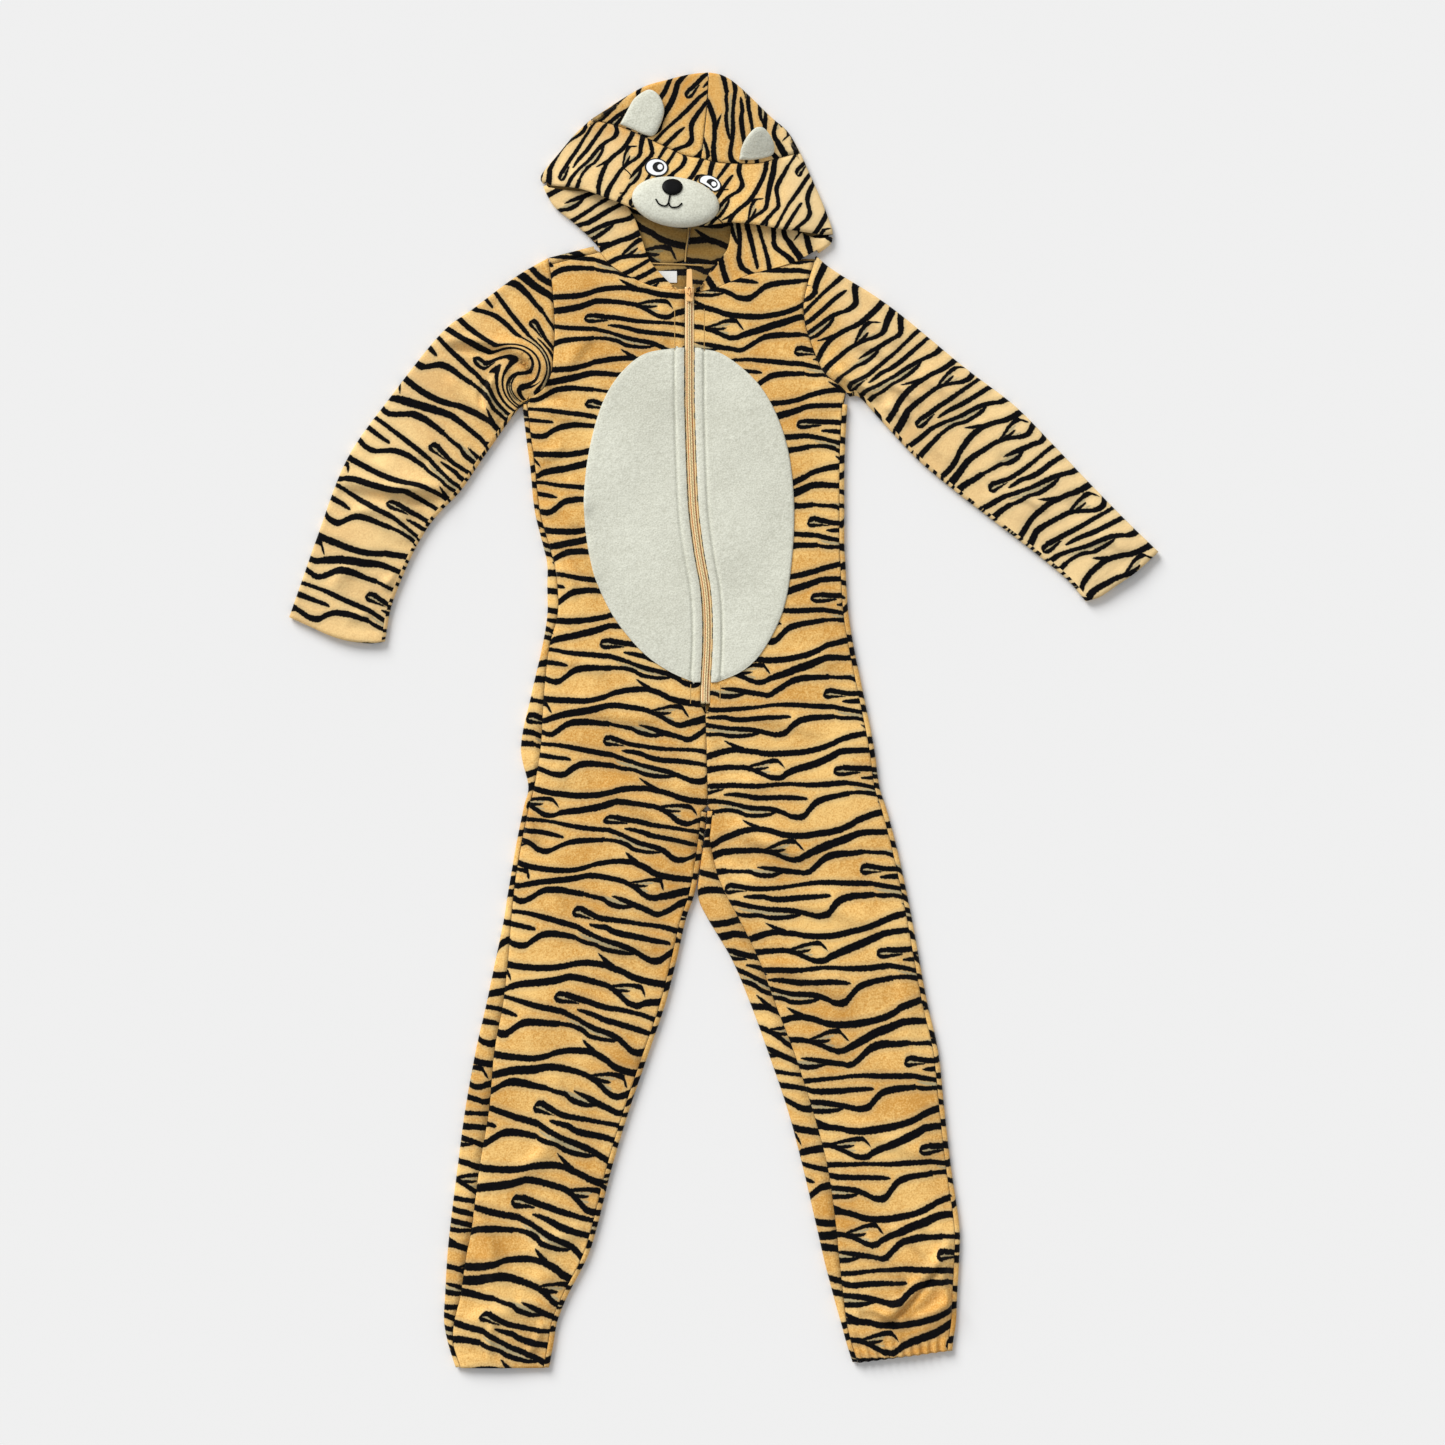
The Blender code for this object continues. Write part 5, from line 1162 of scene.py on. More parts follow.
# %% [markdown]
# ## Fronts and backs
#
# Each front runs from the neck seam to the ankle. Each back lies on the table and rolls up round the
# garment's edge to meet the front at the side seam and at the inside of the leg.


# %% Body boundaries
SLANT_FROM = -480.0
SLANT_OVER = 120.0
FAR = 4000.0
CHEST = (-32, 300)


def body_inner(side, y):
    """Inner boundary of a front: the zip, the centre seam, then the leg."""
    least = SEAM_GAP * 0.7
    half = least + (ZIP_HALF - least) * smooth_step((y - ZIP_BOTTOM + ZIP_CLOSE) / ZIP_CLOSE)
    centre = across("right_inner", y) + side * half
    leg = smooth_step((CROTCH_Y - y) / LEG_START)
    if side < 0:
        return centre - (SEAM_INSET + SEAM_GAP) * leg
    seam = np.maximum(across("left_inner", y) + SEAM_INSET + SEAM_GAP, across("left_seam", y))
    return centre * (1.0 - leg) + seam * leg


def body_outer(side, y):
    """Outer boundary of a front: its side seam."""
    if side < 0:
        return np.maximum(across("right_seam", y), across("right_edge", y) + SEAM_INSET)
    return across("left_edge", y) - SEAM_INSET


def body_heights(side):
    """Heights of the rows below the armpit, at their inner and at their outer ends."""
    hem = HEM_RIGHT_Y if side < 0 else HEM_LEFT_INNER_Y
    torso = np.linspace(ARMPIT_Y - ARMPIT_DROP, ZIP_BOTTOM, TORSO_ROWS)
    hip = np.linspace(ZIP_BOTTOM - ZIP_CLOSE, CROTCH_Y, HIP_ROWS)
    start = CROTCH_Y - LEG_START
    leg = start + (hem - start) * crowded(LEG_ROWS, LEG_CROWD)
    y = np.concatenate([torso, hip, leg])
    slant = 0.0 if side < 0 else HEM_LEFT_SLANT
    return y, y + slant * smooth_step((SLANT_FROM - y) / SLANT_OVER)


def armhole_line(armhole):
    """The armhole's corners, from the armpit to the shoulder, shared by body and sleeve."""
    line = curve(armhole)
    armpit = ARMPIT_REACH_RIGHT if line[0, 0] < 0 else ARMPIT_REACH_LEFT
    return np.vstack([line[:1], trimmed(line, armpit, ROLL, ARMHOLE_POINTS), line[-1:]])


def armhole_body(armhole, shoulder_cut):
    """The body's side of the armhole, from the shoulder down."""
    line = beside(armhole_line(armhole), SEWN_GAP, BODY_MIDDLE)[::-1]
    along = travel(line)
    return points_at(line, np.clip(along[1:-1], shoulder_cut, along[-2] - 3.0 * SEAM_GAP))


def neck_line(neck):
    """The back neck, shared by the back and the hood."""
    return respaced(curve(neck), BACK_COLUMNS[0])


def front(side, name, neck, shoulder, armhole, shoulder_cut, place):
    """One front, from neck and shoulder to ankle."""
    top = joined(curve(neck), curve(shoulder), *FRONT_COLUMNS)
    hole = armhole_body(armhole, shoulder_cut)
    start_y = np.linspace(top[0, 1], ARMPIT_Y, len(hole))
    start = np.column_stack([body_inner(side, start_y), start_y])
    top[0] = start[0]
    top[-1] = hole[0]
    yoke = yoke_rows(top, start, hole)
    y, y_out = body_heights(side)
    inner = np.column_stack([body_inner(side, y), y])
    outer = np.column_stack([body_outer(side, y_out), y_out])
    rows = np.concatenate([yoke, between(inner, outer, sum(FRONT_COLUMNS) - 1)])
    return fleece(name, [laid(rows, body_top, place)])


def back(side, name, neck, shoulder_end, armhole, place, shoulder_edge=None):
    """One back: the layer on the table and the edges that roll up round it."""
    gap = SEWN_GAP
    y, y_out = body_heights(side)
    edge_name, inner_name = ("right_edge", "right_inner") if side < 0 else ("left_edge", "left_inner")
    edge = np.column_stack([across(edge_name, y_out), y_out])
    inward = normals(edge, (-side * FAR, -150.0))
    outer = edge + inward * ROLL
    on_leg = y < CROTCH_Y
    inner = np.column_stack([across(inner_name, y) + side * gap, y])
    leg_edge = inner[on_leg]
    leg_in = normals(leg_edge, (side * FAR, -300.0))
    leg_rim = leg_edge + leg_in * ROLL
    inner[on_leg] = leg_rim

    hole = armhole_body(armhole, ROLL)
    if shoulder_edge is None:
        shoulder = curve(shoulder_end)
    else:
        shoulder_curve = trimmed(curve(shoulder_edge), 0.0, gap * 2.0, BACK_COLUMNS[1])
        shoulder_in = normals(shoulder_curve, CHEST)
        shoulder = shoulder_curve + shoulder_in * ROLL
        hole[0] = shoulder[-1]
    top = np.vstack([neck_line(neck)[:-1], respaced(shoulder, BACK_COLUMNS[1])])
    start_y = np.linspace(top[0, 1], ARMPIT_Y, len(hole))
    start = np.column_stack([across("right_inner", start_y) + side * gap, start_y])
    start[0] = top[0]
    top[-1] = hole[0]
    yoke = yoke_rows(top, start, hole)
    under = np.concatenate([yoke, between(inner, outer, sum(BACK_COLUMNS) - 1)])

    seam = np.column_stack([body_outer(side, y_out) + side * SEAM_GAP, y_out])
    leg_seam = np.column_stack([body_inner(side, y[on_leg]) - side * SEAM_GAP, y[on_leg]])
    grids = [
        laid(under, 0.0, place),
        rolled_cloth(edge, inward, place),
        laid(between(outer, seam, 3), body_top, place),
        rolled_cloth(leg_edge, leg_in, place),
        laid(between(leg_rim, leg_seam, 3), body_top, place),
    ]
    if shoulder_edge is not None:
        front_seam = trimmed(curve(SHOULDER_RIGHT), 1.5, 0.0, BACK_COLUMNS[1]) + (0.0, SEAM_GAP * 1.6)
        grids.append(rolled_cloth(shoulder_curve, shoulder_in, place))
        grids.append(laid(between(shoulder, front_seam, 2), body_top, place))
    return fleece(name, grids, top_is_out=False)


front_right = front(
    -1, "front_right", NECK_FRONT_RIGHT, SHOULDER_RIGHT, ARMHOLE_RIGHT,
    shoulder_cut=8.5, place=PRINT_RIGHT,
)
front_left = front(
    1, "front_left", NECK_FRONT_LEFT, SHOULDER_LEFT, ARMHOLE_LEFT,
    shoulder_cut=5.5, place=PRINT_LEFT,
)
back_right = back(
    -1, "back_right", NECK_BACK_RIGHT, SHOULDER_RIGHT, ARMHOLE_RIGHT, PRINT_BACK_RIGHT,
    shoulder_edge=SHOULDER_EDGE_RIGHT,
)
back_left = back(1, "back_left", NECK_BACK_LEFT, SHOULDER_END_LEFT, ARMHOLE_LEFT, PRINT_BACK_LEFT)

# %% [markdown]
# ## Sleeves
#
# A sleeve is one tube pressed flat, sewn into the armhole. The print was cut a little askew on it.


# %% Sleeve tubes
LEAST_SINE = 0.36
END_REACH = 6.0
END_EASE = 1.5


def roll_reach(row, edge_way):
    """How far along a row its rolled end reaches, where row and edge aren't square."""
    way = row[1] - row[0]
    sine = abs(way[0] * edge_way[1] - way[1] * edge_way[0])
    return ROLL / max(sine / np.linalg.norm(way) / np.linalg.norm(edge_way), LEAST_SINE)


def end_share(share):
    """How much a row takes of the shape of the sleeve's end, at a share of the way from it."""
    return max(0.0, 1.0 - share * END_REACH) ** END_EASE


def sleeve(name, inner, outer, armhole, hem, rows, place):
    """A flattened sleeve: a tube of cloth open at the armhole and the cuff."""
    shares = crowded(rows, ())
    inner_line, outer_line = placed_at(curve(inner), shares), placed_at(curve(outer), shares)
    head = armhole_line(armhole)
    share = travel(head)[:, None] / travel(head)[-1]
    cuff = placed_at(curve(hem), share[:, 0])
    head_shape, cuff_shape = bowed(head, share), bowed(cuff, share)
    angles = np.radians(np.linspace(90, -90, EDGE_STEPS + 1))
    depth = 1.0 - np.cos(angles)
    arc = ROLL * (math.pi / 2.0 - angles)
    inner_way, outer_way = np.gradient(inner_line, axis=0), np.gradient(outer_line, axis=0)
    tube, places_on_print = [], []
    for k in range(rows):
        line = inner_line[k] * (1 - share) + outer_line[k] * share
        line = line + head_shape * end_share(shares[k]) + cuff_shape * end_share(1.0 - shares[k])
        if k == 0:
            line = beside(line, SEWN_GAP, outer_line[-1])
        along = travel(line)
        length = along[-1]
        near, far = along[1], length - along[-2]
        if k:
            near, far = roll_reach(line, inner_way[k]), roll_reach(line[::-1], outer_way[k])
        over = near + (length - near - far) * (along[1:-1] - along[1]) / (along[-2] - along[1])
        under = over[::-1][::UNDER_SKIP]
        stops = np.concatenate([over, length - far * depth[1:], under[1:], near * depth[1:]])
        plan = points_at(line, stops)
        z = np.concatenate([
            body_top(plan[:len(over)]),
            (ROLL + ROLL * np.sin(angles))[1:],
            np.zeros(len(under) - 1),
            (ROLL - ROLL * np.sin(angles))[1:],
        ])
        z[-1] = z[0]
        tube.append(np.column_stack([plan, z]))
        turned_under = over[-1] + arc[-1] + (under[0] - under)
        rest = turned_under[-1] + arc
        past = np.concatenate([over[-1] + arc[1:], turned_under[1:], rest[1:]]) - over[-1]
        way = line[-1] - line[-6]
        unrolled = plan.copy()
        unrolled[len(over):] = plan[len(over) - 1] + past[:, None] * way / np.linalg.norm(way)
        places_on_print.append(place(unrolled))
    return fleece(name, [(np.array(tube), np.array(places_on_print))])


sleeve_right = sleeve(
    "sleeve_right", SLEEVE_RIGHT_INNER, SLEEVE_RIGHT_OUTER, ARMHOLE_RIGHT, SLEEVE_RIGHT_HEM,
    rows=120, place=PRINT_SLEEVE_RIGHT,
)
sleeve_left = sleeve(
    "sleeve_left", SLEEVE_LEFT_INNER, SLEEVE_LEFT_OUTER, ARMHOLE_LEFT, SLEEVE_LEFT_HEM,
    rows=100, place=PRINT_SLEEVE_LEFT,
)

# %% [markdown]
# ## The hood
#
# Two halves make the crown and the back. A band crosses the brow, carries the face and rises over the
# opening. Below it, the hood's two fronts fold down to the neck seam.


# %% Hood panels
FAN = 30
FRONT_SIDE_CUT = 0.8
CROWN = (-30, 620)
CHIN = (-35, 300)


def side_edge(edge, cut, count):
    """A folded side edge of the hood, with its inward normals."""
    line = trimmed(edge, cut, cut, count)
    return line, normals(line, HOOD_MIDDLE)


def band_side(edge):
    """A side edge of the hood band."""
    return side_edge(edge, SEWN_GAP, BAND_SIDE_POINTS)


def front_side(edge):
    """The folded edge of a hood front."""
    return side_edge(edge, FRONT_SIDE_CUT, int(travel(edge)[-1] / FRONT_SIDE_STEP) + 2)


def hood_side(side, name, top_edge, band_edge, low_edge, band_seam, back_neck, place):
    """Half of the hood: crown, the fold over the head, and the back beneath."""
    gap = SEAM_GAP * 1.2
    edge = trimmed(top_edge, 0.0, gap * 1.5, FAN)
    fine = normals(trimmed(top_edge, 0.0, gap * 1.5), HOOD_MIDDLE)
    inward = fine[np.linspace(0, len(fine) - 1, FAN).astype(int)]
    inward[0] = (0.0, -1.0)
    rim = edge + inward * ROLL
    seam_front = curve(HOOD_SEAM_FRONT) + (side * gap, 0.0)
    centre = trimmed(respaced(seam_front, 160), ROLL, 0.0, FAN)
    edge[0, 0] = rim[0, 0] = centre[0, 0]
    last = beside(respaced(band_seam, HOOD_COLUMNS), SEWN_GAP, CROWN)
    last[0], last[-1] = centre[-1], rim[-1]
    share = np.linspace(0.0, 1.0, HOOD_COLUMNS)[:, None]

    def eased(rows, end):
        """Straight rows that ease into the shape of an end line."""
        return rows + bowed(end, share)[None] * np.linspace(0.0, 1.0, len(rows))[:, None, None] ** 2

    crown = between(centre, rim, HOOD_COLUMNS)
    sides = (band_side(band_edge), front_side(low_edge))
    low_rim = np.vstack([line + way * (ROLL + HOOD_TUCK) for line, way in sides])
    back_seam = respaced(curve(HOOD_SEAM_BACK), len(low_rim)) + (side * gap, 0.0)
    neck = trimmed(neck_line(back_neck), 0.0, ROLL * 2.0, HOOD_COLUMNS) + (0.0, SEAM_GAP * 2.0)
    back_seam[-1] = neck[0]
    neck[-1] = low_rim[-1]
    under = np.concatenate([crown, eased(between(back_seam, low_rim, HOOD_COLUMNS), neck)[1:]])
    grids = [
        laid(eased(crown, last), crown_top, place),
        rolled_cloth(edge, inward, place),
        laid(under, 0.0, print_at(4.0 * side, (0.02, 0.05))),
    ]
    return fleece(name, grids, top_is_out=False)


def hood_band(place):
    """The band across the brow, rising from its seam to the hood's opening."""
    left_edge, left_in = band_side(HOOD_RIGHT_BAND)
    right_edge, right_in = band_side(HOOD_LEFT_BAND)
    left = left_edge + left_in * ROLL
    right = right_edge + right_in * ROLL
    right_half = respaced(curve(BAND_SEAM_RIGHT), HOOD_COLUMNS)[::-1]
    left_half = respaced(curve(BAND_SEAM_LEFT), HOOD_COLUMNS)
    top = beside(np.vstack([right_half, left_half[1:]]), SEWN_GAP, CHIN)
    bottom = respaced(curve(BAND_EDGE), len(top))
    top[0], top[-1] = left[0], right[0]
    bottom[0], bottom[-1] = left[-1], right[-1]
    return fleece("hood_band", [
        laid(coons(top, bottom, left, right), band_top, place),
        rolled_cloth(left_edge, left_in, place),
        rolled_cloth(right_edge, right_in, place),
    ])


def hood_front(name, low_edge, top, opening, neck, place):
    """One side of the hood below the band, down to the neck seam."""
    edge, inward = front_side(low_edge)
    lower = beside(respaced(curve(neck), FRONT_COLUMNS[0])[::-1], SEAM_GAP, HOOD_MIDDLE)
    lower[-1] = lower[-2] + (lower[-1] - lower[-2]) * HOOD_FRONT_END
    outer = np.vstack([edge + inward * ROLL, lower])
    inner = respaced(curve(opening), len(outer))
    upper = respaced(curve(top), HOOD_FRONT_COLUMNS)
    upper[0], upper[-1] = outer[0], inner[0]
    return fleece(name, [
        laid(yoke_rows(upper, outer, inner), hood_top, place),
        rolled_cloth(edge, inward, place),
    ])


hood_side_right = hood_side(
    -1, "hood_side_right", HOOD_RIGHT_TOP, HOOD_RIGHT_BAND, HOOD_RIGHT_LOW, curve(BAND_SEAM_RIGHT),
    NECK_BACK_RIGHT, print_at(54.0, (0.02, 0.08), 0.74),
)
hood_side_left = hood_side(
    1, "hood_side_left", HOOD_LEFT_TOP, HOOD_LEFT_BAND, HOOD_LEFT_LOW, curve(BAND_SEAM_LEFT),
    NECK_BACK_LEFT, print_at(-75.0, (0.09, 0.03), 0.78),
)
band = hood_band(print_at(67.0, (0.05, 0.06), 0.7))
front_fold_right = hood_front(
    "hood_front_right", HOOD_RIGHT_LOW, FRONT_RIGHT_TOP, FRONT_RIGHT_OPENING, NECK_FRONT_RIGHT,
    print_at(38.0, (0.07, 0.02), 0.85),
)
front_fold_left = hood_front(
    "hood_front_left", HOOD_LEFT_LOW, FRONT_LEFT_TOP, FRONT_LEFT_OPENING, NECK_FRONT_LEFT,
    print_at(-69.0, (0.03, 0.05), 0.85),
)

# %% [markdown]
# ## Cream fleece, felt and satin
#
# The belly, ears and muzzle are a cream fleece with the same short pile. The eyes are white felt with
# a black rim, a black pupil and a white glint, and the nose is black satin.


# %% Plain materials
def plain_fleece(name, light, deep):
    """Fleece without a print."""
    made, tree, shader = start_material(name)
    speckled(pile(tree, shader, 0.4), 15.0, 0.4, 0.6, deep, light).into(shader, "Base Color")
    give(shader, Sheen_Tint=(1.0, 1.0, 0.96, 1.0))
    return made


def plain(name, tint, roughness, shine=0.5):
    """A plain finish with a little unevenness."""
    made, tree, shader = start_material(name)
    object_place(tree).noise(900.0).bump(shader, 0.25, 0.0004)
    give(shader, Base_Color=tint, Roughness=roughness, Metallic=0.0, Specular_IOR_Level=shine)
    return made


CREAM = plain_fleece("cream fleece", colour(231, 232, 217), colour(198, 198, 182))
TAPE = plain("orange tape", colour(255, 230, 176), 0.9)
COIL = plain("orange coil", colour(255, 236, 188), 0.5)
METAL = plain("painted metal", colour(250, 200, 132), 0.35)
RUST = plain("rust thread", colour(196, 118, 66), 0.8)
BLACK_THREAD = plain("black thread", colour(5, 5, 6), 0.8, shine=0.05)
SATIN = plain("black satin", colour(4, 4, 5), 0.5, shine=0.12)
SERGE = plain("seam thread", colour(196, 160, 96), 0.8)
LABEL = plain("label cloth", colour(236, 236, 232), 0.75)


def eye_felt():
    """White felt with a black rim, a black pupil and a white glint, from the eye's own UV."""
    made, tree, shader = start_material("eye felt")
    x, y = cloth_place(tree)

    def ring(cx, cy, sx, sy):
        dx, dy = (x - cx) / sx, (y - cy) / sy
        return (dx * dx + dy * dy).math("SQRT")

    rim = ring(0.0, 0.0, 1.0, 1.0).smooth(0.83, 0.88)
    pupil = 1.0 - ring(0.14, 0.04, 0.5, 0.58).smooth(0.94, 1.02)
    glint = 1.0 - ring(0.28, 0.08, 0.22, 0.3).smooth(0.9, 1.05)
    dark = (rim.math("MAXIMUM", pupil) - glint).smooth(0.2, 0.8)
    dark.mix(colour(248, 250, 252), colour(5, 5, 7)).into(shader, "Base Color")
    give(shader, Roughness=0.8)
    return made


EYE_FELT = eye_felt()
print("plain materials ready")

# %% [markdown]
# ## Belly patch
#
# The cream oval is two halves, each caught in the zip. A line of topstitching runs beside the zip, and
# the cloth between it and the zip stands a little proud. The outer edge is stitched down flat.


# %% Belly
BELLY_COLUMNS = 58
BELLY_EDGE = 0.3
BELLY_STITCH = 14.0
STITCH_DEEP = 1.5
FACING_THICK = 0.35
BELLY_HEM = 0.8


def plain_place(points):
    """Print places for cloth that has no print."""
    return points[..., :2] * MM


def belly(side, name):
    """Half of the cream oval, laid on its front and moved out."""
    arc = curve([(row[1 if side < 0 else 2], row[0]) for row in BELLY], 130)
    y = arc[:, 1]
    inner = np.column_stack([across("right_inner", y) + side * (ZIP_HALF + BELLY_EDGE), y])
    share = 1.0 - np.cos(np.linspace(0.0, math.pi / 2.0, BELLY_COLUMNS))
    share = (0.5 * share + 0.5 * np.linspace(0.0, 1.0, BELLY_COLUMNS))[None, :, None]
    plan = inner[:, None, :] * (1.0 - share) + arc[:, None, :] * share
    outline = segments([arc])

    def height(points):
        from_zip = np.abs(points[:, 0] - across("right_inner", points[:, 1]))
        stitch = np.exp(-((from_zip - BELLY_STITCH) / 1.2) ** 2)
        dip = np.exp(-((from_zip - ZIP_HALF) / 2.4) ** 2)
        facing = FACING_THICK * smooth_step((BELLY_STITCH - from_zip) / 3.0) - dip
        hem = BELLY_HEM * np.exp(-(distance(points, outline) / 2.6) ** 2)
        return body_top(points) + APPLIQUE_GAP + BELLY_WALL + facing - STITCH_DEEP * stitch - hem

    piece = lay_cloth(name, [laid(plan, height, plain_place)], CREAM, BELLY_WALL)
    return sewn(piece, name)


belly_right = belly(-1, "belly_right")
belly_left = belly(1, "belly_left")

# %% [markdown]
# ## Ears, muzzle, nose and eyes
#
# Each is a low pillow over an outline. Its skirt drops to the cloth below, and its height swells over
# a rounded profile.


# %% Pillows
SKIRT = 5
SKIRT_REACH = 0.97


def turned(piece):
    """The axes of an oval piece's own turned frame."""
    angle = math.radians(piece["turn"])
    return np.array(((math.cos(angle), -math.sin(angle)), (math.sin(angle), math.cos(angle))))


def brow_top(points):
    """Height of the back of a piece that lies on the hood band."""
    return band_top(points) + APPLIQUE_GAP


def muzzle_radius(points):
    """How far out points lie on the muzzle, where 1 is its outline."""
    return np.linalg.norm((points - MUZZLE["centre"]) @ turned(MUZZLE) / MUZZLE["half"], axis=1)


def oval_outline(piece, count):
    """Plan outline of an oval piece."""
    t = np.linspace(0.0, 2.0 * math.pi, count, endpoint=False)
    local = np.column_stack([np.cos(t) * piece["half"][0], np.sin(t) * piece["half"][1]])
    return local @ turned(piece).T + piece["centre"]


def swell(share, square=3.0, soft=3.5):
    """Share of the full height at a share of the outline, from the middle out."""
    return np.maximum(1.0 - np.clip(share, 0.0, 1.0) ** square, 0.0) ** (1.0 / soft)


def muzzle_top(points):
    """Height of the padded muzzle's surface."""
    return brow_top(points) + MUZZLE["thick"] * swell(muzzle_radius(points))


def pillow(name, outline, base, thick, finish, rings, square=3.0, soft=3.5):
    """A low padded piece over an outline, its flat back following a base height."""
    outline = np.vstack([outline, outline[:1]])
    middle = outline[:-1].mean(axis=0)
    shares = np.concatenate([
        np.linspace(0.0, SKIRT_REACH, SKIRT),
        1.0 - np.linspace(0.0, 1.0, rings) ** 1.8,
    ])
    plan = middle + (outline - middle)[None] * shares[:, None, None]
    lift = np.concatenate([np.zeros(SKIRT), thick * swell(shares[SKIRT:], square, soft)])
    z = base(plan.reshape(-1, 2)).reshape(plan.shape[:2]) + lift[:, None]
    turn = np.linspace(0.0, 2.0 * math.pi, len(outline))
    places = np.stack([np.cos(turn), np.sin(turn)], axis=1)[None] * shares[:, None, None]
    points = np.concatenate([plan, z[..., None]], axis=2)
    return sewn(lay_cloth(name, [(points, places)], finish, wall=None), name)


def ear(name, outline, tilt):
    """A cream ear caught in the band's seam, lying back on the crown."""
    lean = math.tan(math.radians(tilt))

    def base(plan):
        past_root = np.maximum(distance(plan, segments([BAND_SEAM])) - EAR_ROOT, 0.0)
        return crown_top(plan) + APPLIQUE_GAP + EAR_GAP + past_root * lean

    ring = respaced(curve(outline + outline[:1]), 73)[:-1]
    return pillow(name, ring, base, EAR_THICK, CREAM, rings=12, square=4.0, soft=2.6)


def eye(name, piece):
    """An appliqued eye, tucked against the muzzle's edge."""
    outline = oval_outline(piece, 60)
    push = np.maximum(MUZZLE_CLEAR / muzzle_radius(outline), 1.0)[:, None]
    outline = MUZZLE["centre"] + (outline - MUZZLE["centre"]) * push
    return pillow(
        name, outline, brow_top, piece["thick"], EYE_FELT, rings=10, square=8.0, soft=3.0,
    )


def nose_base(plan):
    """Height of the nose's back, on the muzzle."""
    return muzzle_top(plan) + APPLIQUE_GAP + NOSE_GAP


ear_right = ear("ear_right", EAR_RIGHT, EAR_RIGHT_TILT)
ear_left = ear("ear_left", EAR_LEFT, EAR_LEFT_TILT)
muzzle = pillow(
    "muzzle", oval_outline(MUZZLE, 120), brow_top, MUZZLE["thick"], CREAM, rings=26,
)
nose = pillow(
    "nose", oval_outline(NOSE, 64), nose_base, NOSE["thick"], SATIN, rings=12,
    square=4.0, soft=2.4,
)
eye_right = eye("eye_right", EYE_RIGHT)
eye_left = eye("eye_left", EYE_LEFT)

# %% [markdown]
# ## Mouth, whiskers and sewing thread
#
# Stitched lines are short tubes of thread, laid just proud of the cloth.


# %% Threads
def thread(name, points, height, radius, finish, count=40, sink=0.3):
    """A stitched line that follows a height over plan points."""
    plan = curve(points, count) if len(points) > 2 else respaced(points, count)
    z = height(plan) + radius - sink
    data = bpy.data.curves.new(name, "CURVE")
    data.dimensions = "3D"
    data.bevel_depth = radius * MM
    data.bevel_resolution = 2
    data.use_fill_caps = True
    line = data.splines.new("POLY")
    line.points.add(len(plan) - 1)
    for point, (x, y), lift in zip(line.points, plan, z):
        point.co = ((x + SHIFT_X) * MM, (y + SHIFT_Y) * MM, lift * MM, 1.0)
    drawn = add_object(name, data)
    bpy.context.view_layer.update()
    mesh = bpy.data.meshes.new_from_object(drawn)
    bpy.data.objects.remove(drawn)
    mesh.materials.clear()
    mesh.materials.append(finish)
    mesh.shade_smooth()
    piece = add_object(name, mesh)
    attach(piece, "garment")
    return piece


def from_photo(*pixels):
    """Garment places of photograph pixels."""
    return [((x - ORIGIN_X) * PIXEL, (ORIGIN_Y - y) * PIXEL) for x, y in pixels]


print("threads ready")

# %% Mouth and whiskers
MOUTH = (
    ((670.5, 199.7), (669.6, 203.5), (669.0, 207.3)),
    ((669.0, 207.3), (666.8, 210.2), (663.6, 210.4), (659.2, 208.2), (656.3, 203.5)),
    ((669.0, 207.3), (670.8, 211.0), (673.6, 212.0), (678.6, 211.2), (682.4, 207.7)),
)
WHISKERS = (
    ((624.6, 171.0), (628.5, 174.2), (632.2, 178.8)),
    ((620.0, 195.8), (622.8, 195.6), (625.4, 194.3)),
    ((714.9, 218.8), (718.4, 221.6), (722.6, 225.7)),
    ((720.6, 193.0), (724.6, 191.4), (728.4, 191.0)),
)
FACE_LINES = (
    ("mouth", MOUTH, muzzle_top, 0.75, 30, -0.1),
    ("whisker", WHISKERS, band_top, 0.5, 14, 0.1),
)
face_threads = [
    thread("%s_%d" % (name, number), from_photo(*pixels), height, radius, BLACK_THREAD, count, sink)
    for name, lines, height, radius, count, sink in FACE_LINES
    for number, pixels in enumerate(lines)
]
print("face threads:", len(face_threads))

# %% [markdown]
# ## The zip
#
# Woven tapes show either side of a closed coil. The coil is two rows of small rounded teeth. The
# slider and pull keep their CAD shapes.


# %% Tapes and coil
COIL_STITCH = 2.35
FACING = 14.0
FACING_STITCH = (("top", 392.0, 352.0), ("low", 36.0, 18.0))
TAPE_ROWS = 260
TAPE_TILT = 0.15
CHAIN_END = 1.5
FIRST_TOOTH = 0.7
TOOTH_PITCH = 1.27
TOOTH_HALF = (0.95, 0.52, 0.78)
TOOTH_OUT = 0.95
TOOTH_RISE = 0.8


def zip_path(y):
    """The zip's centre line and the height of the cloth beside it."""
    plan = np.column_stack([across("right_inner", y), y])
    return plan, body_top(plan)


def zip_tape(side, name):
    """One tape of the zip, between the fronts' edges."""
    plan, height = zip_path(np.linspace(ZIP_TOP, ZIP_BOTTOM + 1.0, TAPE_ROWS))
    grid = []
    for share in (0.0, 0.35, 0.7, 1.0):
        shift = side * (TAPE_IN + (TAPE_OUT - TAPE_IN) * share)
        grid.append(np.column_stack([plan + (shift, 0.0), height - TAPE_SINK - TAPE_TILT * share]))
    grid = np.stack(grid, axis=1)
    return sewn(lay_cloth(name, [(grid, plain_place(grid))], TAPE, TAPE_THICK), name)


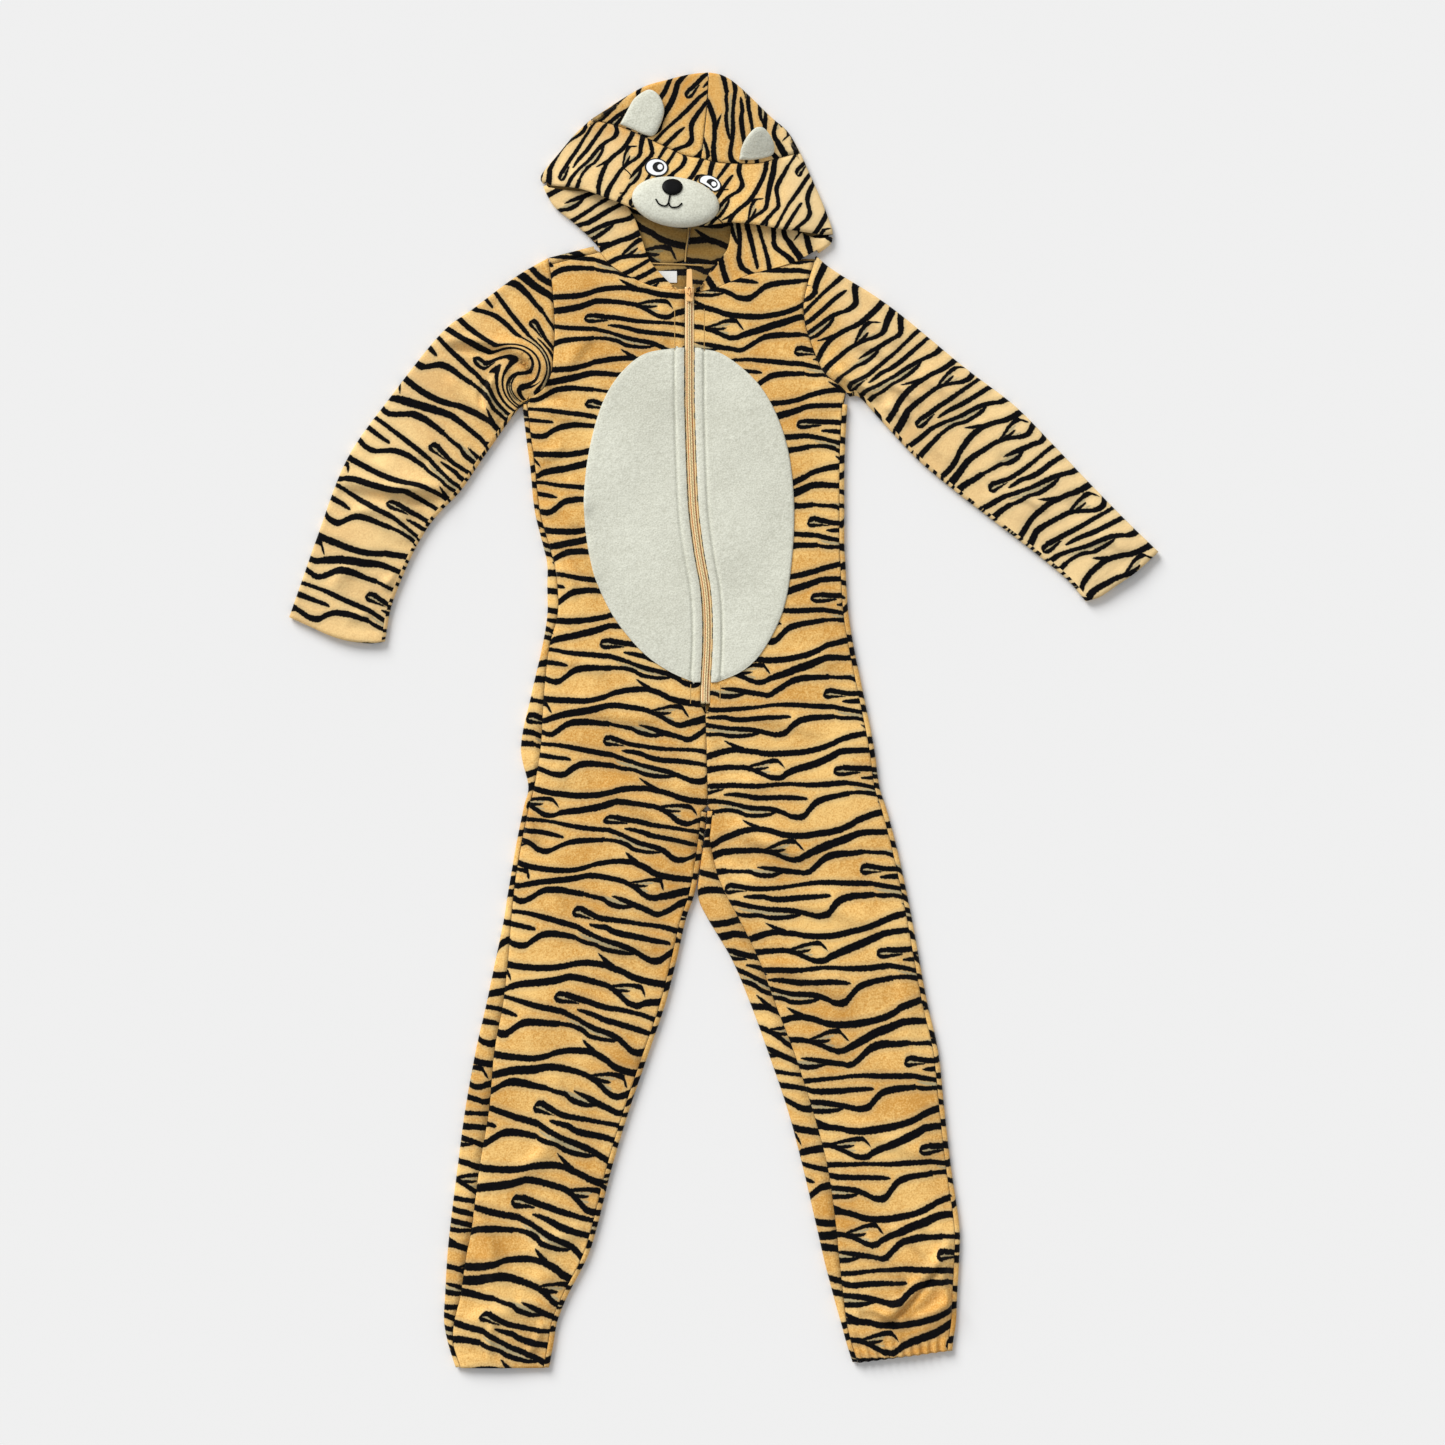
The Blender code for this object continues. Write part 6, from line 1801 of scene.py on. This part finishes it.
def zip_chain():
    """Two rows of rounded coil teeth."""
    count = int((CHAIN_TOP - ZIP_BOTTOM - CHAIN_END) / TOOTH_PITCH)
    plan, height = zip_path(CHAIN_TOP - FIRST_TOOTH - np.arange(count) * TOOTH_PITCH)
    base = height - TAPE_SINK + SEAM_GAP
    bm = bmesh.new()
    for side in (-1, 1):
        shift = 0.0 if side < 0 else -0.5 * TOOTH_PITCH
        for (x, y), z in zip(plan, base):
            made = bmesh.ops.create_icosphere(bm, subdivisions=2, radius=1.0)["verts"]
            place = (x + side * TOOTH_OUT + SHIFT_X, y + shift + SHIFT_Y, z + TOOTH_RISE)
            bmesh.ops.scale(bm, vec=TOOTH_HALF, verts=made)
            bmesh.ops.translate(bm, vec=place, verts=made)
    bmesh.ops.scale(bm, vec=(MM, MM, MM), verts=bm.verts)
    return sewn(shown(bm, "zip_teeth", COIL), "zip_chain")


def tape_top(plan):
    """Height of the sunk tape under plan points."""
    return body_top(zip_path(plan[:, 1])[0]) - TAPE_SINK


tape_right = zip_tape(-1, "zip_tape_right")
tape_left = zip_tape(1, "zip_tape_left")
chain = zip_chain()
zip_line = zip_path(np.linspace(CHAIN_TOP, ZIP_BOTTOM + 3.0, 60))[0]
stitches = {}
for side, half in ((-1, "right"), (1, "left")):
    coil_edge = zip_line + (side * COIL_STITCH, 0.0)
    stitches[half] = [thread("zip_stitch_" + half, coil_edge, tape_top, 0.3, RUST, TAPE_ROWS, 0.1)]
    for part, high, low in FACING_STITCH:
        line = zip_path(np.linspace(high, low, 5))[0] + (side * FACING, 0.0)
        name = "facing_stitch_%s_%s" % (part, half)
        stitches[half].append(thread(name, line, body_top, 0.35, SERGE, 20, 0.35))
print("zip stitches:", len(stitches["right"]) + len(stitches["left"]))

# %% Finishes of the pieces that keep their CAD shapes, and the seams inside the neck
for name, finish in (("zip_slider", METAL), ("zip_pull", METAL), ("neck_label", LABEL)):
    for place in nodes[name].material_slots:
        place.material = finish

SEAM_THREADS = {
    "hood_centre": ((688.6, 226), (688.0, 236), (686.4, 248), (685.2, 262)),
    "neck_seam": ((641, 263), (656, 264), (672, 264.5), (686, 265), (702, 266)),
}


def on_table(plan):
    """Height of the upper side of cloth that lies on the table."""
    return np.full(len(plan), WALL)


inside_threads = [
    thread(name, from_photo(*pixels), on_table, 0.7, SERGE, 40, 0.1)
    for name, pixels in SEAM_THREADS.items()
]
print("seam threads:", len(inside_threads))

# %% [markdown]
# ## What each piece was cut from
#
# Each sheet's cut is given flat, as width and length in metres, with its area in square metres.

# %% Cuts
CUTS = (
    (front_right, (0.22, 1.08), 0.155, ("back_right_cloth",), (tape_right, chain, *stitches["right"])),
    (front_left, (0.22, 1.08), 0.150, ("back_left_cloth",), (tape_left, *stitches["left"])),
    (back_right, (0.27, 1.10), 0.192, (), ()),
    (back_left, (0.26, 1.10), 0.185, (), ()),
    (sleeve_right, (0.27, 0.42), 0.085, (), ()),
    (sleeve_left, (0.27, 0.42), 0.082, (), ()),
    (hood_side_right, (0.19, 0.30), 0.028, (), tuple(inside_threads)),
    (hood_side_left, (0.18, 0.30), 0.025, (), ()),
    (band, (0.31, 0.10), 0.021, ("hood_side_right_cloth", "hood_side_left_cloth"), tuple(face_threads)),
    (front_fold_right, (0.12, 0.11), 0.006, ("hood_side_right_cloth",), ()),
    (front_fold_left, (0.12, 0.10), 0.005, ("hood_side_left_cloth",), ()),
    (belly_right, (0.12, 0.33), 0.028, ("front_right_cloth",), ()),
    (belly_left, (0.11, 0.33), 0.025, ("front_left_cloth",), ()),
)
for piece, flat, area, under, extra in CUTS:
    list(under)
    list(extra)
print("sheets:", len(CUTS))

# %% [markdown]
# ## Floor and light
#
# The floor is a plain pale card, and the light is a broad soft sky with one larger source from the
# upper left, low enough to draw the creases.

# %% Floor and lamps
FLOOR_HALF = 30.0
FLOOR_DROP = -0.0006
WINDOW_FROM = (-0.85, 1.2, 0.95)

card, tree, shader = start_material("pale card")
give(shader, Base_Color=colour(240, 240, 240), Roughness=1.0, Specular_IOR_Level=0.0)
bm = bmesh.new()
bmesh.ops.create_grid(bm, x_segments=1, y_segments=1, size=FLOOR_HALF)
bmesh.ops.translate(bm, vec=(0.0, 0.0, FLOOR_DROP), verts=bm.verts)
floor = shown(bm, "floor", card)

world = bpy.data.worlds.new("studio")
world.use_nodes = True
give(world.node_tree.nodes["Background"], Color=(1.0, 1.0, 1.0, 1.0), Strength=0.48)
bpy.context.scene.world = world
bpy.context.scene.view_settings.view_transform = "Standard"

window = bpy.data.lights.new("window", "SUN")
window.energy = 3.0
window.angle = 0.60
lamp = add_object("window", window)
lamp.rotation_euler = (-Vector(WINDOW_FROM)).to_track_quat("-Z", "Y").to_euler()
print("floor and lamps ready")
